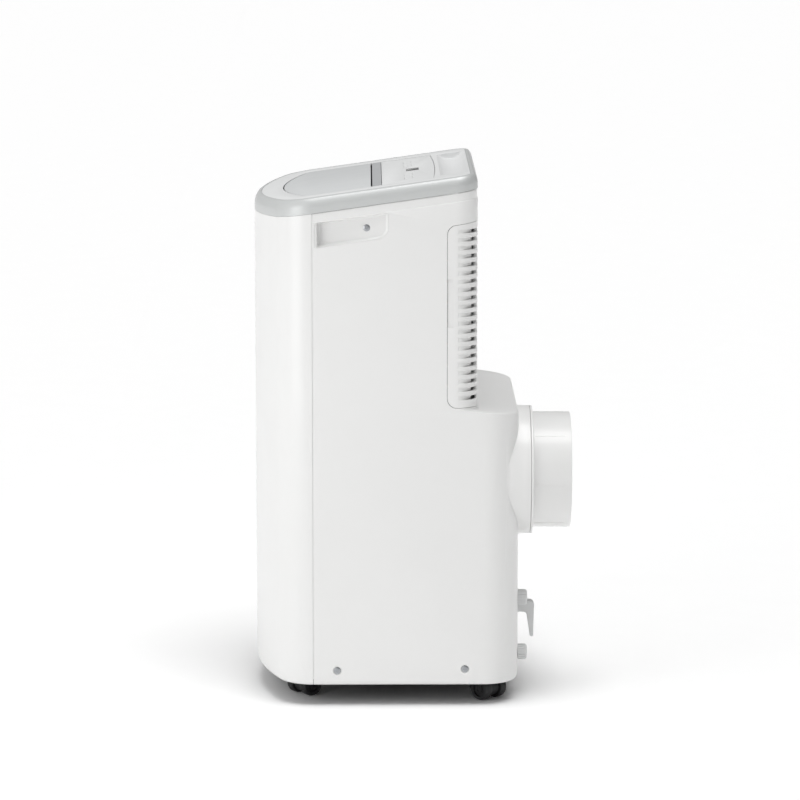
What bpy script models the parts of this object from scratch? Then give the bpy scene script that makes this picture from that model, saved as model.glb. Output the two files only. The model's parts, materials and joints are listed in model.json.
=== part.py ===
"""A portable room air conditioner on casters, as an assembly of separate solids.

Frame: metres, +Z up, the front faces -Y, the exhaust spigot leaves towards +Y.
The origin is on the floor under the middle of the overall box.
"""

from math import atan2, cos, hypot, pi, radians, sin, sqrt

import bmesh
import bpy
from mathutils import Matrix, Vector

# ---------------------------------------------------------------- driving dimensions
WIDTH = 0.350
FRONT_Y = -0.203
SPIGOT_END_Y = 0.2005
UPPER_REAR_Y = 0.080
LOWER_REAR_Y = 0.133
BODY_BOTTOM_Z = 0.027
SHOULDER_Z = 0.629
SLOPE = 0.143
WALL = 0.0025
GAP = 0.0003
SEAM_GAP = 0.0006

FRONT_RADIUS = 0.370
FRONT_CORNER_RADIUS = 0.050
UPPER_CORNER_RADIUS = 0.028
LOWER_CORNER_RADIUS = 0.045
NOSE_HEIGHT = 0.018
NOSE_DEPTH = 0.006
EDGE_RADIUS = 0.006
LEDGE_Z = 0.3785
LEDGE_SLOPE = 0.095

# ---------------------------------------------------------------- top
TRIM_PROFILE = ((0.0, 0.0), (0.0, 0.009), (0.0012, 0.013), (0.004, 0.017), (0.008, 0.0196), (0.0118, 0.0203))
TRIM_WALL = 0.002
TOP_INSET = 0.0128
TOP_HEIGHT = 0.0195
TOP_THICKNESS = 0.0027
OPENING_INSET = 0.0365
FLAP_GAP = 0.0015
FLAP_THICKNESS = 0.003
FLAP_REAR_Y = -0.0538
FLAP_AXIS_Y = -0.0564
FLAP_AXIS_HEIGHT = 0.0140
FLAP_PIN_RADIUS = 0.0017
LIP_GAP = 0.0020
THROAT_REAR_Y = -0.0496
LIP_REAR_Y = -0.0404
PANEL_REAR_Y = 0.028
PANEL_REAR_SAG = 0.0035
PANEL_THICKNESS = 0.0022
PANEL_RECESS = 0.0006
TRAY_Y = 0.049
TRAY_RADIUS = 0.024
TRAY_DEPTH = 0.008
TRAY_HALF_WIDTH = 0.128
DISPLAY_SIZE = (0.030, 0.016)
BUTTON_SIZE = (0.020, 0.010)
BUTTON_X = {"button_power": -0.092, "button_mode": -0.052, "button_minus": 0.052, "button_plus": 0.092}
BUTTON_TRAVEL = 0.0008
BUTTON_Y = -0.006

# ---------------------------------------------------------------- inlet grille
GRILLE_FRONT_Y = 0.0415
GRILLE_BOTTOM_Z = 0.3832
GRILLE_TOP_DROP = 0.0402
GRILLE_CORNER = 0.012
LOUVRE_COUNT = 21
LOUVRE_FIRST_Z = 0.3958
LOUVRE_LAST_Z = 0.6066
LOUVRE_OPEN = 0.0050
LOUVRE_FRONT_Y = 0.0555
RIB_SIZE = 0.004
NOTCH_Z = (0.486, 0.547)
NOTCH_DEPTH = 0.008

# ---------------------------------------------------------------- exhaust and rear fittings
EXHAUST_X = 0.080
EXHAUST_Z = 0.2885
SPIGOT_RADIUS = 0.0738
SPIGOT_WALL = 0.0025
BOSS_RADIUS = 0.082
BOSS_END_Y = 0.1488
BOSS_WALL = 0.008
FLANGE_THICKNESS = 0.0027
COLLAR_LENGTH = 0.009
GUARD_Y = 0.126
CAP_X = 0.105
CAP_Z = {"drain_cap_upper": 0.1265, "drain_cap_lower": 0.055}
CAP_RADIUS = 0.0105
CAP_LENGTH = 0.0120
STUB_RADIUS = 0.0070
STUB_BORE = 0.0048
STUB_PROUD = 0.008
HOOK_X = 0.060
HOOK_WIDTH = 0.014
GLAND_X = -0.100
GLAND_Z = 0.086
GLAND_RADIUS = 0.009
INTAKE_X = (-0.126, -0.024)
INTAKE_Z = (0.100, 0.340)
INTAKE_SLOTS = 12
INTAKE_COLUMNS = 2

# ---------------------------------------------------------------- handles and screws
HANDLE_SEAM_OFFSET = 0.00307
HANDLE_REAR_Y = -0.031
HANDLE_DROP = (-0.044, -0.012)
HANDLE_DEPTH = 0.0135
HANDLE_SCREW_Y = -0.059
SCREW_HEAD_RADIUS = 0.0045
SCREW_HEAD_HEIGHT = 0.0013
SCREW_SHANK_RADIUS = 0.00175
SIDE_SCREWS = ((-0.097, 0.046), (0.065, 0.048))

# ---------------------------------------------------------------- base and casters
PAN_DEPTH = 0.033
PAN_WALL = 0.003
PAN_CLEARANCE = 0.0035
SUMP_X = 0.120
SUMP_Y = (-0.077, 0.009)
SUMP_DEPTH = 0.0215
WHEEL_RADIUS = 0.015
WHEEL_WIDTH = 0.011
WHEEL_SPACING = 0.026
WHEEL_SIDES = 16
CASTER_TRAIL = 0.009
STEM_RADIUS = 0.0045
WHEEL_CLEARANCE = 0.0012
PLATE_THICKNESS = 0.0032
PLATE_GAP = 0.0026
CASTERS = {
    "rear_right": (0.125, 0.090, -46.0),
    "rear_left": (-0.125, 0.090, 30.0),
    "front_right": (0.098, -0.133, 220.0),
    "front_left": (-0.098, -0.133, -25.0),
}

# ---------------------------------------------------------------- insides
DECK_Z = 0.368
DECK_THICKNESS = 0.003
DECK_RIM = 0.014
EVAPORATOR = ((-0.135, 0.034, 0.392), (0.135, 0.060, 0.604))
CONDENSER = ((-0.136, 0.088, 0.080), (-0.012, 0.114, 0.346))
FILTER_BOX = ((-0.150, 0.0655, 0.390), (0.150, 0.0715, 0.612))
EVAP_FAN = (0.0, -0.035, 0.487)
EVAP_WHEEL_RADIUS = 0.066
EVAP_SCROLL_DEPTH = 0.080
EVAP_OUTLET_Z = 0.560
COND_FAN = (EXHAUST_X, -0.030, 0.247)
COND_WHEEL_RADIUS = 0.076
COND_SCROLL_DEPTH = 0.104
WHEEL_SLOTS = 12
COMPRESSOR_XY = (-0.092, -0.098)
COMPRESSOR_RADIUS = 0.056
VANE_X = (-0.084, -0.028, 0.028, 0.084)
VANE_AXIS_Y = -0.095
VANE_PIN_Y = -0.110
VANE_DROP = (0.017, -0.009)
RAIL_DROP = (0.029, 0.023)
LINK_DROP = (0.0225, 0.0195)

SEAM_Y = FRONT_Y + FRONT_RADIUS - sqrt(
    (FRONT_RADIUS - FRONT_CORNER_RADIUS) ** 2 - (WIDTH / 2 - FRONT_CORNER_RADIUS) ** 2
)
VANE_Z = tuple(SHOULDER_Z - drop for drop in VANE_DROP)
RAIL_Z = tuple(SHOULDER_Z - drop for drop in RAIL_DROP)
LINK_Z = tuple(SHOULDER_Z - drop for drop in LINK_DROP)
HANDLE_Y = (SEAM_Y + HANDLE_SEAM_OFFSET, HANDLE_REAR_Y)
PLATE_Z = 2 * WHEEL_RADIUS + WHEEL_CLEARANCE
PAN_FLOOR_Z = PLATE_Z + PLATE_THICKNESS + PLATE_GAP
PAN_TOP_Z = PAN_FLOOR_Z + PAN_DEPTH
SUMP_BOTTOM_Z = PAN_FLOOR_Z - SUMP_DEPTH
SLANT = Matrix(((1, 0, 0, 0), (0, 1, 0, 0), (0, SLOPE, 1, SHOULDER_Z - SLOPE * SEAM_Y), (0, 0, 0, 1)))

COLOURS = {
    "white_shell": (0.86, 0.86, 0.85, 0.38, 0.0),
    "white_trim": (0.82, 0.82, 0.81, 0.34, 0.0),
    "silver": (0.58, 0.59, 0.60, 0.32, 0.6),
    "grey_flap": (0.62, 0.63, 0.63, 0.40, 0.1),
    "black_plastic": (0.03, 0.03, 0.03, 0.50, 0.0),
    "grey_plastic": (0.30, 0.31, 0.32, 0.55, 0.0),
    "dark_glass": (0.02, 0.02, 0.025, 0.12, 0.0),
    "screw_steel": (0.60, 0.60, 0.61, 0.30, 1.0),
    "aluminium_fin": (0.70, 0.71, 0.72, 0.40, 0.9),
    "copper": (0.72, 0.40, 0.26, 0.30, 1.0),
    "compressor_paint": (0.05, 0.05, 0.055, 0.45, 0.2),
    "board_green": (0.05, 0.22, 0.10, 0.50, 0.0),
    "motor_steel": (0.50, 0.51, 0.52, 0.38, 0.9),
    "filter_mesh": (0.22, 0.24, 0.26, 0.70, 0.0),
    "rubber": (0.04, 0.04, 0.04, 0.75, 0.0),
}


# ---------------------------------------------------------------- scene helpers
def clear_scene():
    for obj in list(bpy.data.objects):
        bpy.data.objects.remove(obj)


def new_collection(name):
    collection = bpy.data.collections.new(name)
    bpy.context.scene.collection.children.link(collection)
    return collection


def material(name):
    """The Principled material of one finish, made on first use."""
    if name in bpy.data.materials:
        return bpy.data.materials[name]
    red, green, blue, roughness, metallic = COLOURS[name]
    made = bpy.data.materials.new(name)
    made.use_nodes = True
    shader = made.node_tree.nodes["Principled BSDF"]
    shader.inputs["Base Color"].default_value = (red, green, blue, 1.0)
    shader.inputs["Roughness"].default_value = roughness
    shader.inputs["Metallic"].default_value = metallic
    return made


def add_object(name, mesh, finish=None):
    """Links a mesh as a part with a finish, or as a hidden cutter without one."""
    obj = bpy.data.objects.new(name, mesh)
    if finish:
        PARTS.objects.link(obj)
        mesh.materials.append(material(finish))
    else:
        CUTTERS.objects.link(obj)
        obj.hide_render = True
        obj.display_type = "WIRE"
    return obj


def boolean(target, other, operation):
    modifier = target.modifiers.new(operation.lower() + "_" + other.name, "BOOLEAN")
    modifier.operation = operation
    modifier.object = other


def carve(target, *cutters):
    for cutter in cutters:
        boolean(target, cutter, "DIFFERENCE")


def weld_on(target, *pieces):
    for piece in pieces:
        boolean(target, piece, "UNION")


def move_origin(obj, point):
    """Puts a piece's origin on its joint's axis without moving the piece."""
    obj.data.transform(Matrix.Translation(-Vector(point)))
    obj.location = point


def hold(parent, child):
    """Parents a piece to the one that carries it, without moving it."""
    child.parent = parent
    child.matrix_parent_inverse = Matrix.Translation(parent.location).inverted()


def centre_on_floor():
    """Brings the middle of the overall depth to the origin."""
    shift = -(FRONT_Y + SPIGOT_END_Y) / 2
    for obj in bpy.data.objects:
        if not obj.parent:
            obj.location.y += shift


# ---------------------------------------------------------------- shapes
def boxes(name, corners, finish=None, slanted=False):
    """One mesh of axis-aligned boxes, each given as its lowest and highest corner."""
    bm = bmesh.new()
    for low, high in corners:
        size = Vector(high) - Vector(low)
        place = Matrix.Translation((Vector(low) + Vector(high)) / 2) @ Matrix.Diagonal((*size, 1))
        bmesh.ops.create_cube(bm, size=1.0, matrix=place)
    mesh = bpy.data.meshes.new(name)
    bm.to_mesh(mesh)
    bm.free()
    if slanted:
        mesh.transform(SLANT)
    return add_object(name, mesh, finish)


def box(name, low, high, finish=None, slanted=False):
    return boxes(name, [(low, high)], finish, slanted)


AXIS_TURN = {
    "X": Matrix.Rotation(pi / 2, 4, "Y"),
    "-X": Matrix.Rotation(-pi / 2, 4, "Y"),
    "Y": Matrix.Rotation(-pi / 2, 4, "X"),
    "-Y": Matrix.Rotation(pi / 2, 4, "X"),
    "Z": Matrix.Identity(4),
}


def cylinder(name, radius, start, length, axis="Z", sides=24, finish=None, end_radius=None):
    """A cylinder or cone that starts at a point and runs along an axis."""
    bm = bmesh.new()
    bmesh.ops.create_cone(
        bm,
        cap_ends=True,
        segments=sides,
        radius1=radius,
        radius2=radius if end_radius is None else end_radius,
        depth=length,
        matrix=Matrix.Translation(start) @ AXIS_TURN[axis] @ Matrix.Translation((0, 0, length / 2)),
    )
    mesh = bpy.data.meshes.new(name)
    bm.to_mesh(mesh)
    bm.free()
    return add_object(name, mesh, finish)


def turned(name, profile, place, axis, steps, finish=None, phase=0.0):
    """Turns a profile of (radius, height) points, from the inner top down the outer side, about an axis."""
    bm = bmesh.new()
    points = [bm.verts.new((radius, 0, height)) for radius, height in profile]
    for first, second in zip(points, points[1:]):
        bm.edges.new((first, second))
    mesh = bpy.data.meshes.new(name)
    bm.to_mesh(mesh)
    bm.free()
    obj = add_object(name, mesh, finish)
    obj.matrix_world = Matrix.Translation(place) @ AXIS_TURN[axis] @ Matrix.Rotation(phase, 4, "Z")
    screw = obj.modifiers.new("turn", "SCREW")
    screw.steps = screw.render_steps = steps
    screw.use_merge_vertices = True
    screw.merge_threshold = 0.00001
    screw.use_smooth_shade = False
    return obj


def as_mesh(curve_object, name, finish):
    """The closed mesh of a curve object, with its caps welded on. The curve is removed."""
    graph = bpy.context.evaluated_depsgraph_get()
    mesh = bpy.data.meshes.new_from_object(curve_object.evaluated_get(graph))
    mesh.name = name
    bm = bmesh.new()
    bm.from_mesh(mesh)
    bmesh.ops.remove_doubles(bm, verts=bm.verts, dist=0.000005)
    bmesh.ops.recalc_face_normals(bm, faces=bm.faces)
    bm.to_mesh(mesh)
    bm.free()
    mesh.materials.clear()
    bpy.data.objects.remove(curve_object)
    return add_object(name, mesh, finish)


def extruded(name, outline, low, high, place=Matrix.Identity(4), finish=None, holes=(), slanted=False):
    """A flat outline, with round or square holes, extruded from low to high along its normal."""
    curve = bpy.data.curves.new(name + "_outline", "CURVE")
    curve.dimensions = "2D"
    curve.fill_mode = "BOTH"
    curve.extrude = (high - low) / 2
    for points in (outline, *holes):
        spline = curve.splines.new("POLY")
        spline.points.add(len(points) - 1)
        for point, (x, y) in zip(spline.points, points):
            point.co = (x, y, 0, 1)
        spline.use_cyclic_u = True
    obj = bpy.data.objects.new(name + "_outline", curve)
    CUTTERS.objects.link(obj)
    bpy.context.view_layer.update()
    made = as_mesh(obj, name, finish)
    made.data.transform(place @ Matrix.Translation((0, 0, (low + high) / 2)))
    if place.determinant() < 0:
        made.data.flip_normals()
    if slanted:
        made.data.transform(SLANT)
    return made


def tube(name, points, radius, finish, resolution=2):
    """A round tube along straight runs between the given points."""
    curve = bpy.data.curves.new(name + "_line", "CURVE")
    curve.dimensions = "3D"
    curve.bevel_depth = radius
    curve.bevel_resolution = resolution
    curve.use_fill_caps = True
    spline = curve.splines.new("POLY")
    spline.points.add(len(points) - 1)
    for point, co in zip(spline.points, points):
        point.co = (*co, 1)
    obj = bpy.data.objects.new(name + "_line", curve)
    CUTTERS.objects.link(obj)
    bpy.context.view_layer.update()
    return as_mesh(obj, name, finish)


def lofted(name, sections, wall, finish, closed=False):
    """A shell through sections of equal point count. Points run counter-clockwise seen from above, sections upwards."""
    bm = bmesh.new()
    rows = [[bm.verts.new(point) for point in section] for section in sections]
    columns = len(rows[0])
    for lower, upper in zip(rows, rows[1:]):
        for i in range(columns if closed else columns - 1):
            j = (i + 1) % columns
            bm.faces.new((lower[i], lower[j], upper[j], upper[i]))
    mesh = bpy.data.meshes.new(name)
    bm.to_mesh(mesh)
    bm.free()
    obj = add_object(name, mesh, finish)
    solidify = obj.modifiers.new("wall", "SOLIDIFY")
    solidify.thickness = wall
    solidify.offset = -1
    solidify.solidify_mode = "NON_MANIFOLD"
    solidify.nonmanifold_thickness_mode = "CONSTRAINTS"
    return obj


def circle(centre, radius, sides):
    return [
        (centre[0] + radius * cos(2 * pi * i / sides), centre[1] + radius * sin(2 * pi * i / sides))
        for i in range(sides)
    ]


def arc(centre, radius, start, end, steps):
    """Points on an arc, angles in radians, both ends included."""
    return [
        (
            centre[0] + radius * cos(start + (end - start) * i / steps),
            centre[1] + radius * sin(start + (end - start) * i / steps),
        )
        for i in range(steps + 1)
    ]


# ---------------------------------------------------------------- the body's plan
def shoulder(y):
    """Height of the sloping plane on which the trim band stands."""
    return SHOULDER_Z + SLOPE * (y - SEAM_Y)


def front_plan(inset=0.0, corner_steps=4, front_steps=6):
    """The bowed front from the left seam to the right one."""
    half = WIDTH / 2
    centre = (0.0, FRONT_Y + FRONT_RADIUS)
    corner = (half - FRONT_CORNER_RADIUS, SEAM_Y)
    meet = atan2(corner[1] - centre[1], corner[0])
    right = arc(corner, FRONT_CORNER_RADIUS - inset, meet, 0.0, corner_steps)
    bow = arc(centre, FRONT_RADIUS - inset, -pi - meet, meet, front_steps)
    left = [(-x, y) for x, y in reversed(right)]
    return left + bow[1:-1] + right


def rear_plan(rear_y, corner_radius, inset=0.0, corner_steps=4, start_y=None):
    """The back from the right side round to the left one."""
    half = WIDTH / 2
    centre_y = rear_y - corner_radius
    start = SEAM_Y + SEAM_GAP if start_y is None else start_y
    side = [(half - inset, start)]
    corner = arc((half - corner_radius, centre_y), corner_radius - inset, 0.0, pi / 2, corner_steps)
    right = side + corner
    return right + [(-x, y) for x, y in reversed(right)]


def edge_inset(z):
    """How far the lower edge is rounded inwards at a height."""
    drop = max(0.0, EDGE_RADIUS - (z - BODY_BOTTOM_Z))
    return EDGE_RADIUS - sqrt(EDGE_RADIUS**2 - drop**2)


def nose_share(z):
    """The share of the front's depth that is left where the nose curves under."""
    drop = max(0.0, 1 - (z - BODY_BOTTOM_Z) / NOSE_HEIGHT)
    return 1 - NOSE_DEPTH * (1 - sqrt(1 - drop**2)) / (SEAM_Y - FRONT_Y)


def nosed(points, z):
    """Pulls a front plan back to the nose's depth at a height."""
    return [(x, SEAM_Y + (y - SEAM_Y) * nose_share(z)) for x, y in points]


def at_height(points, z):
    return [(x, y, z) for x, y in points]


def on_ledge(points):
    """Lifts a rear plan on to the sloping ledge above the lower bulge, with its side edges level."""
    arc_start = points[1][1]
    return [(x, y, LEDGE_Z - LEDGE_SLOPE * (max(y, arc_start) - UPPER_REAR_Y)) for x, y in points]


def on_slope(points, height):
    return [(x, y, shoulder(y) + height) for x, y in points]


EDGE_ROWS = (0.0, 0.14 * EDGE_RADIUS, 0.5 * EDGE_RADIUS, EDGE_RADIUS)


# ---------------------------------------------------------------- casings
def make_front_cover():
    heights = [BODY_BOTTOM_Z + dz for dz in (*EDGE_ROWS, 0.6 * NOSE_HEIGHT, NOSE_HEIGHT)]
    sections = [at_height(nosed(front_plan(edge_inset(z)), z), z) for z in heights]
    sections.append(on_slope(front_plan(), -GAP))
    return lofted("front_cover", sections, WALL, "white_shell")


def grille_block(name, clearance):
    """The block that the wrap-round inlet grille fills, with its two front corners rounded."""
    front = GRILLE_FRONT_Y + clearance
    low, high = GRILLE_BOTTOM_Z + clearance, -GRILLE_TOP_DROP - clearance
    radius = GRILLE_CORNER
    rear = UPPER_REAR_Y + 0.02

    def top(y):
        return shoulder(y) + high

    outline = [(rear, low), (rear, top(rear))]
    upper_z = top(front + radius) - radius
    outline += arc((front + radius, upper_z), radius, pi / 2, pi, 4)
    outline += arc((front + radius, low + radius), radius, pi, 3 * pi / 2, 4)
    across = Matrix(((0, 0, 1, 0), (1, 0, 0, 0), (0, 1, 0, 0), (0, 0, 0, 1)))
    return extruded(name, outline, -WIDTH, WIDTH, across)


def intake_slots():
    """Cutters for the louvre slots of the lower intake, in rows and columns."""
    bar = 0.008
    pitch_x = (INTAKE_X[1] - INTAKE_X[0] + bar) / INTAKE_COLUMNS
    pitch_z = (INTAKE_Z[1] - INTAKE_Z[0]) / INTAKE_SLOTS
    corners = []
    for column in range(INTAKE_COLUMNS):
        x = INTAKE_X[0] + column * pitch_x
        for row in range(INTAKE_SLOTS):
            z = INTAKE_Z[0] + row * pitch_z
            corners.append(((x, LOWER_REAR_Y - 0.01, z), (x + pitch_x - bar, LOWER_REAR_Y + 0.01, z + pitch_z * 0.45)))
    return boxes("intake_slots", corners)


def make_rear_cover():
    lower = [BODY_BOTTOM_Z + dz for dz in EDGE_ROWS]
    sections = [at_height(rear_plan(LOWER_REAR_Y, LOWER_CORNER_RADIUS, edge_inset(z)), z) for z in lower]
    outer = rear_plan(LOWER_REAR_Y, LOWER_CORNER_RADIUS)
    inner = rear_plan(UPPER_REAR_Y, UPPER_CORNER_RADIUS)
    sections += [on_ledge(outer), on_ledge(inner), on_slope(inner, -GAP)]
    cover = lofted("rear_cover", sections, WALL, "white_shell")

    boss_start = LOWER_REAR_Y - 0.022
    boss = cylinder(
        "exhaust_boss", BOSS_RADIUS, (EXHAUST_X, boss_start, EXHAUST_Z), BOSS_END_Y - boss_start, "Y", 32
    )
    bore = cylinder(
        "exhaust_bore", BOSS_RADIUS - BOSS_WALL, (EXHAUST_X, boss_start - 0.01, EXHAUST_Z), 0.08, "Y", 32
    )
    stub = cylinder(
        "upper_stub",
        STUB_RADIUS,
        (CAP_X, LOWER_REAR_Y - 0.010, CAP_Z["drain_cap_upper"]),
        0.010 + STUB_PROUD,
        "Y",
        16,
    )
    stub_bore = cylinder("upper_stub_bore", STUB_BORE, (CAP_X, 0.1, CAP_Z["drain_cap_upper"]), 0.08, "Y", 16)
    weld_on(cover, boss, stub)
    carve(cover, bore, stub_bore, grille_block("grille_opening", 0.0), intake_slots())
    lower_hole = cylinder(
        "lower_drain_hole", STUB_RADIUS + 0.0006, (CAP_X, 0.11, CAP_Z["drain_cap_lower"]), 0.05, "Y", 16
    )
    gland_hole = cylinder("gland_hole", GLAND_RADIUS - 0.003, (GLAND_X, 0.11, GLAND_Z), 0.05, "Y", 16)
    carve(cover, lower_hole, gland_hole)
    for side in (1, -1):
        carve(cover, handle_opening(side))
        axis = "X" if side > 0 else "-X"
        for number, (y, z) in enumerate(SIDE_SCREWS):
            start = (side * (WIDTH / 2 - SCREW_HEAD_HEIGHT - GAP), y, z)
            sink = cylinder(f"sink_{side}_{number}", SCREW_HEAD_RADIUS + 0.0006, start, 0.01, axis, 12)
            start = (side * (WIDTH / 2 - 0.008), y, z)
            hole = cylinder(f"hole_{side}_{number}", SCREW_SHANK_RADIUS + 0.0004, start, 0.01, axis, 12)
            carve(cover, sink, hole)
    return cover


def make_top_trim():
    plan = {}
    for inset, height in TRIM_PROFILE:
        outline = front_plan(inset) + rear_plan(UPPER_REAR_Y, UPPER_CORNER_RADIUS, inset)[1:-1]
        plan[(inset, height)] = on_slope(outline, height)
    return lofted("top_trim", [plan[key] for key in TRIM_PROFILE], TRIM_WALL, "silver", closed=True)


# ---------------------------------------------------------------- top cover, flap and outlet
def panel_edge(x, clearance=0.0):
    """The bowed rear edge of the control panel."""
    half = WIDTH / 2 - OPENING_INSET
    return PANEL_REAR_Y - PANEL_REAR_SAG * (x / half) ** 2 + clearance


def opening_plan():
    """The one opening of the top cover, for the flap, the outlet's lip and the control panel."""
    half = WIDTH / 2 - OPENING_INSET
    steps = 6
    rear = [(half - 2 * half * i / steps) for i in range(steps + 1)]
    return front_plan(OPENING_INSET, 3, 6) + [(x, panel_edge(x, GAP * 2)) for x in rear]


def make_top_cover():
    outline = (
        front_plan(TOP_INSET)
        + rear_plan(UPPER_REAR_Y, UPPER_CORNER_RADIUS, TOP_INSET)[1:-1]
    )
    low = TOP_HEIGHT - TOP_THICKNESS
    cover = extruded("top_cover", outline, low, TOP_HEIGHT, finish="white_trim", slanted=True)
    tray = box(
        "tray_block",
        (-TRAY_HALF_WIDTH - 0.003, TRAY_Y - 0.017, TOP_HEIGHT - TRAY_DEPTH - 0.003),
        (TRAY_HALF_WIDTH + 0.003, TRAY_Y + 0.0165, low + 0.001),
        slanted=True,
    )
    scoop_height = TOP_HEIGHT + TRAY_RADIUS - TRAY_DEPTH
    scoop = cylinder(
        "tray_scoop",
        TRAY_RADIUS,
        (-TRAY_HALF_WIDTH, TRAY_Y, shoulder(TRAY_Y) + scoop_height),
        2 * TRAY_HALF_WIDTH,
        "X",
        32,
    )
    weld_on(cover, tray)
    carve(cover, extruded("top_opening", opening_plan(), low - 0.02, TOP_HEIGHT + 0.01, slanted=True), scoop)
    return cover


def flap_plan(inset, rear_y, corner_steps=3, front_steps=6):
    """The D-shaped plan shared by the flap and the mouth of the outlet duct."""
    half = WIDTH / 2 - inset
    return front_plan(inset, corner_steps, front_steps) + [(half, rear_y), (-half, rear_y)]


def make_flap():
    inset = OPENING_INSET + FLAP_GAP
    low = TOP_HEIGHT - FLAP_THICKNESS
    flap = extruded(
        "outlet_flap", flap_plan(inset, FLAP_REAR_Y), low, TOP_HEIGHT, finish="grey_flap", slanted=True
    )
    axis_z = shoulder(FLAP_AXIS_Y) + FLAP_AXIS_HEIGHT
    inner = WIDTH / 2 - inset - 0.010
    for side in (1, -1):
        lug = box(
            f"flap_lug_{side}",
            (min(side * inner, side * (inner + 0.004)), FLAP_AXIS_Y - 0.0035, FLAP_AXIS_HEIGHT - 0.003),
            (max(side * inner, side * (inner + 0.004)), FLAP_AXIS_Y + 0.002, low + 0.001),
            slanted=True,
        )
        pin = cylinder(
            f"flap_pin_{side}",
            FLAP_PIN_RADIUS,
            (side * (inner + 0.001), FLAP_AXIS_Y, axis_z),
            0.0125,
            "X" if side > 0 else "-X",
            12,
        )
        weld_on(flap, lug, pin)
    move_origin(flap, (0, FLAP_AXIS_Y, axis_z))
    return flap


def make_outlet_duct():
    """The throat from the upper blower to the flap, with its rear lip and the rail that the vanes turn in."""
    mouth_inset = OPENING_INSET + FLAP_GAP + 0.0015
    mouth = flap_plan(mouth_inset, THROAT_REAR_Y + 0.0022)
    deep = TOP_HEIGHT - FLAP_THICKNESS - 0.0008
    front_most = min(y for _, y in mouth)
    depth = THROAT_REAR_Y + 0.0022 - front_most
    base_half, base_front, base_depth = 0.113, EVAP_FAN[1] - EVAP_SCROLL_DEPTH / 2, EVAP_SCROLL_DEPTH
    half = WIDTH / 2 - mouth_inset
    base = [(x * base_half / half, base_front + (y - front_most) * base_depth / depth) for x, y in mouth]
    duct = lofted(
        "outlet_duct",
        [at_height(base, EVAP_OUTLET_Z + 0.0035), on_slope(mouth, deep - 0.030), on_slope(mouth, deep)],
        0.0022,
        "grey_plastic",
        closed=True,
    )
    swing = hypot(FLAP_REAR_Y - FLAP_AXIS_Y, TOP_HEIGHT - FLAP_AXIS_HEIGHT)
    lip = box(
        "outlet_lip",
        (-half - 0.001, FLAP_REAR_Y + LIP_GAP, TOP_HEIGHT - 0.004),
        (half + 0.001, LIP_REAR_Y, TOP_HEIGHT),
        slanted=True,
    )
    axis_z = shoulder(FLAP_AXIS_Y) + FLAP_AXIS_HEIGHT
    sweep = cylinder("flap_sweep", swing + 0.0005, (-WIDTH / 2, FLAP_AXIS_Y, axis_z), WIDTH, "X", 48)
    carve(lip, sweep)
    mouth_low = shoulder(VANE_AXIS_Y) + deep - 0.030
    base_z = EVAP_OUTLET_Z + 0.0035
    ends = [base_half + (z - base_z) / (mouth_low - base_z) * (half - base_half) - 0.0008 for z in RAIL_Z]
    rail_outline = [(-ends[0], RAIL_Z[0]), (ends[0], RAIL_Z[0]), (ends[1], RAIL_Z[1]), (-ends[1], RAIL_Z[1])]
    upright = Matrix(((1, 0, 0, 0), (0, 0, 1, 0), (0, 1, 0, 0), (0, 0, 0, 1)))
    rail = extruded("vane_rail", rail_outline, VANE_AXIS_Y - 0.004, VANE_AXIS_Y + 0.004, upright)
    notch = box(
        "flap_pin_notch",
        (-WIDTH / 2, FLAP_AXIS_Y - FLAP_PIN_RADIUS - 0.0004, FLAP_AXIS_HEIGHT - FLAP_PIN_RADIUS - 0.0006),
        (WIDTH / 2, FLAP_AXIS_Y + swing + 0.0004, TOP_HEIGHT + 0.004),
        slanted=True,
    )
    carve(duct, notch)
    weld_on(duct, lip, rail)
    for number, x in enumerate(VANE_X):
        carve(duct, cylinder(f"vane_hole_{number}", 0.0023, (x, VANE_AXIS_Y, RAIL_Z[0] - 0.002), 0.01, "Z", 12))
    return duct


def make_vanes():
    for number, x in enumerate(VANE_X, 1):
        vane = box(
            f"vane_{number}",
            (x - 0.001, VANE_AXIS_Y - 0.023, VANE_Z[0]),
            (x + 0.001, VANE_AXIS_Y + 0.023, VANE_Z[1]),
            "grey_plastic",
        )
        pin = cylinder(f"vane_pin_{number}", 0.002, (x, VANE_AXIS_Y, RAIL_Z[0] + 0.001), 0.016, "Z", 12)
        crank = cylinder(f"crank_pin_{number}", 0.0015, (x, VANE_PIN_Y, LINK_Z[0] - 0.001), 0.010, "Z", 12)
        weld_on(vane, pin, crank)
        move_origin(vane, (x, VANE_AXIS_Y, VANE_Z[0]))


def make_vane_link():
    end = VANE_X[-1] + 0.008
    link = box("vane_link", (-end, VANE_PIN_Y - 0.0035, LINK_Z[0]), (end, VANE_PIN_Y + 0.0055, LINK_Z[1]), "grey_plastic")
    slots = [
        ((x - 0.0022, VANE_PIN_Y - 0.0018, LINK_Z[0] - 0.01), (x + 0.0022, VANE_PIN_Y + 0.0040, LINK_Z[1] + 0.01))
        for x in VANE_X
    ]
    carve(link, boxes("link_slots", slots))
    return link


def make_flap_motor():
    """A small geared stepper whose shaft end sits off the can's centre, beside the flap's right pin."""
    axis_z = shoulder(FLAP_AXIS_Y) + FLAP_AXIS_HEIGHT
    face_x = WIDTH / 2 - OPENING_INSET + 0.0008
    can_radius, offset, length = 0.0096, 0.0071, 0.015
    can = cylinder("flap_motor", can_radius, (face_x, FLAP_AXIS_Y, axis_z - offset), length, "X", 20, "motor_steel")
    socket = cylinder("flap_motor_socket", FLAP_PIN_RADIUS + 0.0003, (face_x - 0.01, FLAP_AXIS_Y, axis_z), 0.014, "X", 12)
    carve(can, socket)
    return can


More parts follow.
